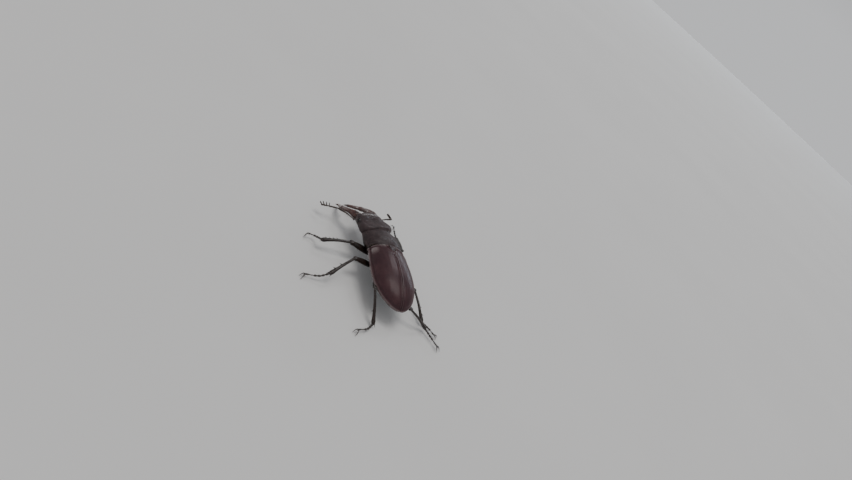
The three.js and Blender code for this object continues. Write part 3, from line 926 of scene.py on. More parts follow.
@dataclass(frozen=True)
class Effect:
    """A shader node group that finishes share. `fill` takes its nodes and inputs, and gives its outputs."""

    fill: Fill
    takes: dict[str, float | Colour]
    gives: dict[str, str]

    def tree(self) -> bpy.types.NodeTree:
        """Makes the group under the name of `fill`, or finds it if it is there.

        Returns:
            The group.
        """
        name = self.fill.__name__
        if name in bpy.data.node_groups:
            return bpy.data.node_groups[name]
        tree = bpy.data.node_groups.new(name, "ShaderNodeTree")
        for label, value in self.takes.items():
            kind = "NodeSocketColor" if isinstance(value, tuple) else "NodeSocketFloat"
            socket = tree.interface.new_socket(label, in_out="INPUT", socket_type=kind)
            socket.default_value = (*value, 1.0) if isinstance(value, tuple) else value
        for label, kind in self.gives.items():
            tree.interface.new_socket(label, in_out="OUTPUT", socket_type="NodeSocket" + kind)
        nodes = Nodes(tree)
        into, out = nodes.add("NodeGroupInput"), nodes.add("NodeGroupOutput")
        for label, value in self.fill(nodes, into.outputs).items():
            tree.links.new(value, out.inputs[label])
        return tree


def shell_tone(n: Nodes, takes: dict[str, Socket]) -> dict[str, Socket]:
    """Clouded shell colour: two tones and a warmer one, paler on edges as wear and painted highlight, and
    darker in hollows as painted shade.

    Args:
        n: the group's nodes.
        takes: its inputs.

    Returns:
        What feeds each output.
    """
    spot = n.place()
    scale = n.math("DIVIDE", PER_MM, takes["Cloud size"])
    cloud = n.add("TexNoise", {"Vector": spot, "Scale": scale, "Detail": 5.0, "Roughness": 0.6})
    fine = n.add("TexNoise", {"Vector": spot, "Scale": n.math("MULTIPLY", scale, 5.3), "Detail": 3.0})
    share = n.between(cloud.outputs["Fac"], 0.36, 0.64)
    tone = n.blend(share, takes["Deep"], takes["Base"])
    glow = n.math("MULTIPLY", n.between(fine.outputs["Fac"], 0.45, 0.7), takes["Warmth"])
    tone = n.blend(glow, tone, takes["Warm"])
    # paler edges: partly wear, partly a painted highlight along beads and ridges
    edge = n.math("MULTIPLY", n.between(takes["Shade"], 0.55, 1.0), takes["Worn edge and highlight"])
    tone = n.blend(edge, tone, takes["Warm"])
    # painted shade: hollows and creases darkened towards the deep tone
    hollow = n.between(takes["Shade"], 0.45, 0.1, 0.0, 0.7)
    return {"Color": n.blend(hollow, tone, takes["Deep"]), "Cloud": cloud.outputs["Fac"]}


def punctures(n: Nodes, takes: dict[str, Socket]) -> dict[str, Socket]:
    """Small round pits strewn over a shell, some deep and most faint.

    Args:
        n: the group's nodes.
        takes: its inputs.

    Returns:
        What feeds each output.
    """
    spot = n.place()
    scale = n.math("DIVIDE", PER_MM, takes["Spacing"])
    wobble = n.add("TexNoise", {"Vector": spot, "Scale": n.math("MULTIPLY", scale, 0.35)})
    cells = n.add("TexVoronoi", {"Vector": spot, "Scale": scale, "Randomness": 0.9})
    pit = n.between(cells.outputs["Distance"], takes["Width"], 0.04, 0.0, 1.0)
    depth = n.math("MULTIPLY", pit, n.between(wobble.outputs["Fac"], 0.35, 0.65, 0.25, 1.0))
    return {"Pit": depth, "Height": n.math("MULTIPLY", depth, -1.0)}


def micro_grain(n: Nodes, takes: dict[str, Socket]) -> dict[str, Socket]:
    """The leathery net of fine wrinkles that takes the edge off a shell's gloss.

    Args:
        n: the group's nodes.
        takes: its inputs.

    Returns:
        What feeds each output.
    """
    spot = n.place()
    scale = n.math("DIVIDE", PER_MM, takes["Size"])
    net = n.add("TexVoronoi", {"Vector": spot, "Scale": scale}, feature="DISTANCE_TO_EDGE")
    swell = n.add("TexNoise", {"Vector": spot, "Scale": n.math("MULTIPLY", scale, 0.12), "Detail": 6.0})
    creases = n.between(net.outputs["Distance"], 0.0, 0.22)
    height = n.math("ADD", creases, n.math("MULTIPLY", swell.outputs["Fac"], takes["Swell"]))
    return {"Height": height, "Patchiness": swell.outputs["Fac"]}


def settled_dust(n: Nodes, takes: dict[str, Socket]) -> dict[str, Socket]:
    """A thin film of pale dust, thickest in hollows and in patches.

    Args:
        n: the group's nodes.
        takes: its inputs.

    Returns:
        What feeds each output.
    """
    spot = n.place()
    patch = n.add("TexNoise", {"Vector": spot, "Scale": 0.45 * PER_MM, "Detail": 8.0, "Roughness": 0.7})
    specks = n.add("TexNoise", {"Vector": spot, "Scale": 7.0 * PER_MM, "Detail": 2.0})
    hollow = n.between(takes["Shade"], 0.5, 0.2, 0.35, 1.0)
    film = n.math("MULTIPLY", n.between(patch.outputs["Fac"], 0.45, 0.75), hollow)
    grit = n.between(specks.outputs["Fac"], 0.66, 0.74, 0.0, 0.5)
    return {"Mask": n.math("MULTIPLY", n.math("ADD", film, grit), takes["Amount"])}


SHELL_TONE = Effect(
    shell_tone,
    {"Base": (0.5, 0.5, 0.5), "Deep": (0.1, 0.1, 0.1), "Warm": (0.5, 0.3, 0.2), "Cloud size": 3.0,
     "Warmth": 0.3, "Worn edge and highlight": 0.3, "Shade": FLAT_SHADE},
    {"Color": "Color", "Cloud": "Float"},
)
PUNCTURES = Effect(punctures, {"Spacing": 0.2, "Width": 0.4}, {"Pit": "Float", "Height": "Float"})
MICRO_GRAIN = Effect(micro_grain, {"Size": 0.05, "Swell": 2.0}, {"Height": "Float", "Patchiness": "Float"})
SETTLED_DUST = Effect(settled_dust, {"Amount": 0.2, "Shade": FLAT_SHADE}, {"Mask": "Float"})


def new_material(name: str) -> tuple[Material, Nodes, bpy.types.Node]:
    """A material with one Principled shader, its nodes and that shader.

    Args:
        name: its name.

    Returns:
        All three.
    """
    material = bpy.data.materials.new(name)
    material.use_nodes = True
    nodes = Nodes(material.node_tree)
    shader = next(n for n in material.node_tree.nodes if n.type == "BSDF_PRINCIPLED")
    return material, nodes, shader


@dataclass(frozen=True)
class Cuticle:
    """The finish of a horny part. Sizes and depths are in millimetres."""

    name: str
    base: Colour
    deep: Colour
    warm: Colour
    cloud: float = 3.0
    warmth: float = 0.3
    # how much edges pale: partly wear, partly painted highlight
    wear_and_highlight: float = 0.35
    rough: tuple[float, float] = (0.25, 0.4)
    coat: float = 0.3
    coat_rough: float = 0.15
    specular: float = 0.5
    polish: float = 0.9
    polished: tuple[float, float] = (0.62, 0.9)  # the shades where an edge's polish starts and is whole
    slant: tuple[float, float] = (0.25, 0.8)  # how far off square the gloss starts to drop and ends
    slant_gloss: float = 0.12
    pit_spacing: float = 0.22
    pit_width: float = 0.35
    pit_depth: float = 0.006
    grain_size: float = 0.05
    grain_depth: float = 0.0012
    dust: float = 0.15
    dust_colour: Colour = (0.32, 0.28, 0.24)

    def material(self) -> Material:
        """Mixes the finish.

        Returns:
            The material.
        """
        material, n, shader = new_material(self.name)
        shade = n.add("Attribute", attribute_name="shade").outputs["Fac"]
        tone = n.add("Group", {
            "Base": self.base, "Deep": self.deep, "Warm": self.warm, "Cloud size": self.cloud,
            "Warmth": self.warmth, "Worn edge and highlight": self.wear_and_highlight, "Shade": shade,
        }, node_tree=SHELL_TONE.tree())
        pitting = {"Spacing": self.pit_spacing, "Width": self.pit_width}
        pits = n.add("Group", pitting, node_tree=PUNCTURES.tree())
        grain = n.add("Group", {"Size": self.grain_size}, node_tree=MICRO_GRAIN.tree())
        dust = n.add("Group", {"Amount": self.dust, "Shade": shade}, node_tree=SETTLED_DUST.tree())
        # painted shade: pits darkened towards the deep tone by their depth
        pitted = n.blend(n.math("MULTIPLY", pits.outputs["Pit"], 0.6), tone.outputs["Color"], self.deep)
        n.join(shader.inputs["Base Color"], n.blend(dust.outputs["Mask"], pitted, self.dust_colour))
        satin = n.between(grain.outputs["Patchiness"], 0.35, 0.65, *self.rough)
        dusty = n.math("MULTIPLY_ADD", dust.outputs["Mask"], 0.4, satin)
        pitted_gloss = n.math("MULTIPLY_ADD", pits.outputs["Pit"], 0.15, dusty)
        edge = n.between(shade, *self.polished)
        n.join(shader.inputs["Roughness"], n.math("MULTIPLY_ADD", edge, -0.14, pitted_gloss))
        n.join(shader.inputs["Coat Weight"], n.math("MULTIPLY_ADD", edge, self.polish, self.coat))
        fine = n.add("Bump", {"Strength": 1.0, "Distance": self.grain_depth * MM,
                              "Height": grain.outputs["Height"]})
        bump = n.add("Bump", {"Strength": 1.0, "Distance": self.pit_depth * MM,
                              "Height": pits.outputs["Height"], "Normal": fine.outputs[0]})
        n.join(shader.inputs["Normal"], bump.outputs[0])
        slant = n.add("LayerWeight", {"Blend": 0.5}).outputs["Facing"]
        gloss = n.between(slant, *self.slant, self.specular, self.specular * self.slant_gloss)
        n.join(shader.inputs["Specular IOR Level"], n.math("MULTIPLY_ADD", edge, self.polish * 0.5, gloss))
        shader.inputs["Coat Roughness"].default_value = self.coat_rough
        return material


@dataclass(frozen=True)
class Bristle:
    """The finish of hairs: paler towards the tip, and a little different from place to place."""

    name: str
    root: Colour
    tip: Colour
    rough: float = 0.45

    def material(self) -> Material:
        """Mixes the finish.

        Returns:
            The material.
        """
        material, n, shader = new_material(self.name)
        along = n.add("Attribute", attribute_name="shade").outputs["Fac"]
        cloud = n.add("TexNoise", {"Vector": n.place(), "Scale": 1.4 * PER_MM, "Detail": 3.0})
        share = n.math("MULTIPLY", along, n.between(cloud.outputs["Fac"], 0.35, 0.65, 0.5, 1.0))
        n.join(shader.inputs["Base Color"], n.blend(share, self.root, self.tip))
        n.join(shader.inputs["Roughness"], n.between(cloud.outputs["Fac"], 0.3, 0.7, self.rough, 0.65))
        shader.inputs["Sheen Weight"].default_value = 0.3
        return material


@dataclass(frozen=True)
class Facets:
    """The finish of the eyes: gloss black over a fine net of lenses."""

    name: str
    centre: Colour
    rim: Colour
    lens: float = 0.035

    def material(self) -> Material:
        """Mixes the finish.

        Returns:
            The material.
        """
        material, n, shader = new_material(self.name)
        spot = n.place()
        net = n.add("TexVoronoi", {"Vector": spot, "Scale": PER_MM / self.lens, "Randomness": 0.15})
        cloud = n.add("TexNoise", {"Vector": spot, "Scale": 1.1 * PER_MM, "Detail": 3.0})
        seam = n.between(net.outputs["Distance"], 0.3, 0.7)
        share = n.math("MULTIPLY", seam, n.between(cloud.outputs["Fac"], 0.35, 0.65, 0.3, 0.9))
        n.join(shader.inputs["Base Color"], n.blend(share, self.centre, self.rim))
        n.join(shader.inputs["Roughness"], n.between(cloud.outputs["Fac"], 0.35, 0.65, 0.12, 0.24))
        domes = n.math("MULTIPLY", seam, -1.0)
        bump = n.add("Bump", {"Strength": 0.6, "Distance": 0.004 * MM, "Height": domes})
        n.join(shader.inputs["Normal"], bump.outputs[0])
        shader.inputs["Specular IOR Level"].default_value = 0.3
        shader.inputs["Coat Weight"].default_value = 0.25
        shader.inputs["Coat Roughness"].default_value = 0.06
        return material


@dataclass(frozen=True)
class Palette:
    """Every finish of the beetle."""

    # its pale warm tone and strong edge wear paint light lines on the rim, base and seam beads: wear and
    # painted highlight
    case: Cuticle = Cuticle(
        "wing_case_mahogany", (0.079, 0.035, 0.040), (0.045, 0.019, 0.024), (0.19, 0.130, 0.125),
        cloud=7.0, warmth=0.04, wear_and_highlight=0.7, rough=(0.28, 0.36), coat=0.03, coat_rough=0.1, specular=0.2,
        pit_spacing=0.16, pit_width=0.3, pit_depth=0.0015, grain_depth=0.0005, dust=0.05,
    )
    shell: Cuticle = Cuticle(
        "shell_black_brown", (0.066, 0.045, 0.048), (0.034, 0.023, 0.025), (0.125, 0.082, 0.074),
        cloud=4.0, warmth=0.25, wear_and_highlight=0.5, rough=(0.30, 0.40), coat=0.02, coat_rough=0.1, specular=0.2,
        pit_spacing=0.21, pit_width=0.42, pit_depth=0.016, grain_depth=0.002, dust=0.08,
    )
    jaw: Cuticle = Cuticle(
        "jaw_maroon", (0.088, 0.030, 0.024), (0.028, 0.012, 0.012), (0.17, 0.064, 0.045),
        cloud=2.2, rough=(0.22, 0.30), coat=0.5, coat_rough=0.08, specular=0.35,
        pit_spacing=0.2, pit_width=0.36, pit_depth=0.005, dust=0.08,
    )
    belly: Cuticle = Cuticle(
        "underside_black", (0.022, 0.014, 0.012), (0.011, 0.008, 0.008), (0.05, 0.027, 0.018),
        cloud=2.5, wear_and_highlight=0.3, rough=(0.26, 0.38), coat=0.15, specular=0.35,
        pit_spacing=0.2, pit_width=0.36, pit_depth=0.008, dust=0.18,
    )
    leg: Cuticle = Cuticle(
        "leg_black_brown", (0.024, 0.014, 0.012), (0.010, 0.007, 0.007), (0.060, 0.030, 0.019),
        cloud=1.6, wear_and_highlight=0.4, rough=(0.24, 0.34), coat=0.15, coat_rough=0.12, specular=0.32,
        pit_spacing=0.18, pit_width=0.36, pit_depth=0.005, grain_size=0.04, dust=0.06,
    )
    feeler: Cuticle = Cuticle(
        "feeler_dark_brown", (0.035, 0.019, 0.013), (0.014, 0.009, 0.008), (0.085, 0.042, 0.024),
        cloud=0.9, warmth=0.4, wear_and_highlight=0.4, rough=(0.3, 0.42), coat=0.1, specular=0.35,
        pit_spacing=0.1, pit_width=0.4, pit_depth=0.003, grain_size=0.03, dust=0.08,
    )
    eye: Facets = Facets("eye_gloss_black", (0.008, 0.007, 0.008), (0.03, 0.02, 0.018))
    gold: Bristle = Bristle("hair_golden", (0.11, 0.062, 0.025), (0.36, 0.24, 0.10))
    dark: Bristle = Bristle("bristle_brown", (0.035, 0.018, 0.010), (0.16, 0.085, 0.035))

    def mixed(self) -> dict[str, Material]:
        """Each finish's material, by the finish's own name."""
        return {label: finish.material() for label, finish in vars(self).items()}


# ---------------- wing cases
SIDES: dict[str, int] = {"left": 1, "right": -1}
RIDE_HEIGHT = 8.1  # the wing cases' side margin above the ground


@dataclass
class Dome:
    """The outline that the wing cases and the body under them share, by the share of their length."""

    length: float = 25.5
    base_half: float = 7.2
    half: float = 8.4
    widest: float = 0.45
    taper: float = 2.3
    roundness: float = 0.62
    height: float = 5.05
    tallest: float = 0.35
    base_dip: float = 0.14
    fall: float = 2.6
    fall_roundness: float = 0.6
    crown: float = 0.95
    droop: float = 1.0

    def half_width(self, s: Array) -> Array:
        """Half the width across the back.

        Args:
            s: shares of the length.

        Returns:
            The half widths.
        """
        swell = np.sin(np.clip(s, 0, self.widest) / self.widest * np.pi / 2)
        front = self.base_half + (self.half - self.base_half) * swell
        fall = np.clip((s - self.widest) / (1 - self.widest), 0, 1) ** self.taper
        return np.where(s < self.widest, front, self.half * (1 - fall) ** self.roundness)

    def rise(self, s: Array) -> Array:
        """The height of the middle above the side margin.

        Args:
            s: shares of the length.

        Returns:
            The heights.
        """
        dip = np.clip((self.tallest - s) / self.tallest, 0, 1) ** 2
        fall = np.clip((s - self.tallest) / (1 - self.tallest), 0, 1) ** self.fall
        front = self.height * (1 - self.base_dip * dip)
        return np.where(s < self.tallest, front, self.height * (1 - fall) ** self.fall_roundness)

    def margin(self, s: Array) -> Array:
        """The side margin's height above the ground."""
        return RIDE_HEIGHT - self.droop * s * s

    def back(self, s: Array, angle: Array) -> Array:
        """Points on the domed back."""
        up = self.margin(s) + self.rise(s) * np.sin(angle) ** self.crown
        return np.stack([-s * self.length, self.half_width(s) * np.cos(angle), up], -1)


@dataclass
class Scutellum:
    """The small rounded triangle between the bases of the wing cases."""

    dome: Dome
    half: float = 1.7
    front: float = -0.1
    cheek: tuple[float, float] = (1.53, 1.8)
    length: float = 3.0
    top: float = 4.72
    wall: float = 0.6

    def half_width(self, behind: Array) -> Array:
        """Half its width at a distance behind the wing cases' base.

        Args:
            behind: the distances.

        Returns:
            The half widths.
        """
        t = np.linspace(0, 1, 60)
        rear = (1 - t) ** 2 * self.front + 2 * t * (1 - t) * self.cheek[1] + t * t * self.length
        side = (1 - t) ** 2 * self.half + 2 * t * (1 - t) * self.cheek[0]
        return np.interp(behind, rear, side)

    def skin(self) -> Skin:
        """A plate that follows the back, with a low middle and rounded edges.

        Returns:
            The closed plate.
        """
        behind = self.front + (self.length - self.front) * crowded(46)[:, None]
        across = (2 * crowded(46) - 1)[None, :]
        wide = np.maximum(self.half_width(behind), 0.02)
        left = wide * across
        down = 0.012 * left**2 + 0.02 * (behind - 1.4) ** 2
        edge = np.minimum(wide * (1 - np.abs(across)), np.minimum(behind - self.front, 9.0))
        dent = 0.12 * np.exp(-(left**2) / 0.5 - (behind - 1.1) ** 2 / 0.6)
        bead = 0.05 * bell(edge - 0.25, 0.2)
        up = RIDE_HEIGHT + self.top - down - rolled(edge, 0.28) - dent + bead + 0 * across
        outer = np.stack([-behind + 0 * left, left, up], -1)
        inner = outer - np.array([0, 0, self.wall])
        return plate(outer, inner, FLAT_SHADE + 2 * bead - 1.5 * dent)

    def build(self, finish: Material) -> None:
        """Makes the plate."""
        self.skin().piece("scutellum_plate", BODY, finish, Slot.SHELL, ["scutellum"])


@dataclass
class WingCases:
    """The two wing cases, which meet along the middle and part round the scutellum."""

    dome: Dome
    scutellum: Scutellum
    seam: float = 0.035
    notch_gap: float = 0.1
    tip: float = 0.9994
    rows: int = 170
    columns: int = 104
    fold: float = 22.0
    fold_depth: float = 0.9
    fold_share: float = 0.14
    wall: float = 0.55

    BATCH = 4000  # points measured against the rim at once

    def skin(self, side: int) -> Skin:
        """One wing case.

        Args:
            side: 1 for the left one, -1 for the right one.

        Returns:
            The closed shell.
        """
        dome = self.dome
        s = (self.tip * crowded(self.rows))[:, None]
        v = crowded(self.columns)[None, :]
        wide = np.maximum(dome.half_width(s), 0.02)
        edge = np.maximum(self.seam, self.scutellum.half_width(s * dome.length) + self.notch_gap)
        edge = np.where(s * dome.length > self.scutellum.length, self.seam, edge)
        inmost = np.arccos(np.clip(edge / wide, 0, 0.995))
        on_back = np.clip(v / (1 - self.fold_share), 0, 1)
        under = np.clip((v - 1 + self.fold_share) / self.fold_share, 0, 1)
        angle = inmost * (1 - on_back)
        points = dome.back(s + 0 * v, angle)
        tuck = np.radians(self.fold) * under
        points[..., 1] -= wide * (1 - np.cos(tuck)) * (under > 0)
        points[..., 2] -= self.fold_depth * np.sin(tuck) ** 0.4 * np.minimum(1, wide / 3)
        points[..., 1] *= side
        normal = normals_of(points, np.array([0, 0, 1.0]))
        relief = self._relief(s + 0 * v, points, under)
        walked = np.linalg.norm(np.diff(points, axis=1), axis=2).sum(1)[:, None]
        wall = np.minimum(self.wall, 0.25 * walked)
        outer = points + normal * relief[..., None]
        inner = points - normal * wall[..., None]
        # beads pale and grooves darken the colour: painted highlight lines on the rim, base and seam,
        # painted shade in the grooves, besides wear
        shade = FLAT_SHADE + 1.6 * relief + 0.06 * ripple(points, 5.0, 3.0)
        return plate(outer, inner, np.clip(shade, 0.1, 1))

    def _relief(self, s: Array, points: Array, under: Array) -> Array:
        """The height of beads, grooves and swells on a wing case.

        Args:
            s: shares of the length.
            points: the plain surface.
            under: how far into the folded margin they are.

        Returns:
            The heights.
        """
        steps = np.linalg.norm(np.diff(points, axis=1), axis=2)
        from_seam = np.concatenate([np.zeros((len(points), 1)), np.cumsum(steps, 1)], 1)
        across = from_seam[:, -1:]
        rim = points[:, np.argmax(under[0] > 0) - 1]
        flat = points.reshape(-1, 3)
        from_rim = np.concatenate([
            np.sqrt(np.min(((flat[i : i + self.BATCH, None] - rim[None]) ** 2).sum(-1), 1))
            for i in range(0, len(flat), self.BATCH)
        ]).reshape(s.shape)
        behind = s * self.dome.length
        on_top = under == 0
        room = smoothstep(0.5, 3.0, across)
        relief = 0.12 * bell(from_seam - 0.28, 0.3) * room - 0.08 * bell(from_seam - 0.76, 0.32) * room
        relief = relief + 0.24 * bell(from_rim - 0.16, 0.48)
        relief = relief - on_top * 0.15 * bell(from_rim - 0.92, 0.42) * smoothstep(0.3, 2.0, across)
        relief = relief + 0.2 * bell(behind - 0.36, 0.4) - 0.13 * bell(behind - 1.02, 0.46)
        shoulder = (behind - 2.4) ** 2 / 2.6 + (from_rim - 2.4) ** 2 / 2.0
        hollow = (behind - 2.2) ** 2 / 3.0 + (from_rim - 4.9) ** 2 / 1.6
        relief = relief + on_top * (0.30 * np.exp(-shoulder) - 0.07 * np.exp(-hollow))
        stripes = 0.008 * np.cos(2 * np.pi * from_seam / 1.55) * smoothstep(1.0, 2.5, from_rim)
        relief = relief + on_top * stripes * room * smoothstep(0, 0.1, s)
        waves = ripple(points, 3.2, 1.3) + 0.5 * ripple(points, 1.4, 4.1)
        relief = relief + 0.012 * waves * room
        relief = relief - rolled(behind, 0.3) - rolled(from_seam, 0.07)
        return relief - rolled(across - from_seam, 0.12)

    def build(self, finish: Material) -> None:
        """Makes both wing cases."""
        for name, side in SIDES.items():
            self.skin(side).piece(f"wing_case_{name}", BODY, finish, Slot.WING_CASE, [f"elytron_{name}"])


# ---------------- body
@dataclass
class Trunk:
    """The thorax and the abdomen under the wing cases."""

    dome: Dome
    start: float = 0.005
    waist: float = 11.2
    end: float = 24.4
    inset: float = 1.08
    keel: float = 1.3
    depth: Knots = ((-0.02, 2.6), (0.1, 4.3), (0.42, 4.3), (0.55, 3.9), (0.85, 2.6), (1.0, 0.7))
    belly_plates: int = 5
    collar_ends: tuple[float, float] = (-1.2, 1.7)
    collar_radii: Triple = (6.1, 3.05, 2.7)
    hairs: int = 1500

    def surface(self, s: Array, angle: Array) -> Array:
        """Points on the body, from shares of the length and angles round it.

        Args:
            s: shares of the length.
            angle: angles round from the left.

        Returns:
            The points.
        """
        wide = np.maximum(self.dome.half_width(s) - self.inset, 0.05)
        sine, cosine = np.sin(angle), np.cos(angle)
        above = self.dome.margin(s) + (self.dome.rise(s) - self.inset) * np.abs(sine) ** self.dome.crown
        below = self.dome.margin(s) + profile(self.depth)(s) * bend(sine, self.keel)
        left = np.where(sine >= 0, wide * cosine, wide * bend(cosine, self.keel))
        return np.stack([-s * self.dome.length + 0 * angle, left, np.where(sine >= 0, above, below)], -1)

    def _body(self, start: float, end: float, rings: int, relief: Relief) -> Skin:
        """A stretch of the body between two shares of the length, with its relief.

        Args:
            start: the first share.
            end: the last share.
            rings: how many rings it has.
            relief: the relief, from shares and angles.

        Returns:
            The closed stretch.
        """
        s = start + (end - start) * crowded(rings)[:, None]
        angle = turns(120)
        points = self.surface(s, angle)
        out = np.stack([0 * angle + 0 * s, np.cos(angle) + 0 * s, np.sin(angle) + 0 * s], -1)
        height = relief(s, angle) * (np.sin(angle) < 0.2)
        height = height + 0.02 * ripple(points, 1.8, 2.0)
        return body_of_rings(points + out * height[..., None], FLAT_SHADE + 2.0 * height)

    def _thorax_relief(self, s: Array, angle: Array) -> Array:
        """A middle furrow, the seam before the hind legs and the side plates' seams.

        Args:
            s: shares of the length.
            angle: angles round from the left.

        Returns:
            The heights.
        """
        forward, middle = -s * self.dome.length, np.abs(angle - 1.5 * np.pi)
        furrow = -0.14 * bell(middle, 0.10) * smoothstep(-0.5, -2.5, forward)
        seam = -0.16 * bell(forward + 8.5 + 0.9 * middle, 0.3)
        side = -0.14 * bell(middle - 1.05 - 0.03 * forward, 0.06)
        front = -0.12 * bell(forward + 2.2 - 0.6 * middle, 0.25)
        return furrow + seam + side + front

    def _abdomen_relief(self, s: Array, angle: Array) -> Array:
        """Five plates, each overlapping the next.

        Args:
            s: shares of the length.
            angle: angles round from the left.

        Returns:
            The heights.
        """
        share = (s * self.dome.length - self.waist) / (self.end - self.waist) * self.belly_plates
        share = share - 0.12 * np.cos(2 * (angle - 1.5 * np.pi))
        step = share - np.floor(share)
        lip = 0.2 * step**1.5 * (1 - smoothstep(0.93, 1.0, step)) - 0.04
        side = -0.1 * bell(np.abs(angle - 1.5 * np.pi) - 1.2, 0.08)
        return lip + side

    def collar(self) -> Skin:
        """The dark neck of the thorax, carried forward inside the shield, darkened further by painted
        shade.

        Returns:
            Its skin.
        """
        forward = np.linspace(*self.collar_ends, 16)[:, None]
        angle = turns(90)
        left, top, bottom = self.collar_radii
        rise = np.where(np.sin(angle) > 0, top, bottom) * bend(np.sin(angle), 0.9)
        up = RIDE_HEIGHT - 0.15 + rise + 0 * forward
        points = np.stack([forward + 0 * angle, left * bend(np.cos(angle), 0.9) + 0 * forward, up], -1)
        folds = 0.06 * np.sin(forward * 7.0) + 0.02 * ripple(points, 1.2, 3.0)
        points[..., 2] += folds * np.sign(np.sin(angle))
        # shade 0.3: painted shade, darkening the collar where it lies in the gap under the shield
        return body_of_rings(points, 0.3 + folds)

    def down(self) -> Skin:
        """The golden down under the thorax, lying back.

        Returns:
            The coat.
        """
        coat, rng = Coat.seeded(1, 11)
        s = rng.uniform(0.02, 0.42, self.hairs)
        angle = rng.uniform(1.12, 1.88, self.hairs) * np.pi
        roots = self.surface(s, angle)
        out = np.stack([0 * s, np.cos(angle), np.sin(angle)], 1)
        places = np.stack([s / 0.5, angle / (2 * np.pi)], 1)
        ways = 0.55 * out + [-1, 0, -0.05]
        coat.grow(0, roots - 0.05 * out, ways, places, (0.7, 1.3), 0.04, (-0.15, 0, 0.12))
        return coat.skin()

    def build(self, finish: Material, hair: Material) -> None:
        """Makes the thorax, the abdomen and the down.

        Args:
            finish: the underside's finish.
            hair: the down's finish.
        """
        waist = self.waist / self.dome.length
        thorax = self._body(self.start, waist + 0.003, 90, self._thorax_relief)
        thorax.piece("thorax_underside", BODY, finish, Slot.UNDERSIDE, ["metathorax"])
        abdomen = self._body(waist + 0.004, self.end / self.dome.length, 130, self._abdomen_relief)
        abdomen.piece("abdomen_plates", BODY, finish, Slot.UNDERSIDE, ["abdomen"])
        self.collar().piece("thorax_collar", BODY, finish, Slot.UNDERSIDE)
        self.down().piece("thorax_down", BODY, hair, Slot.UNDERSIDE)


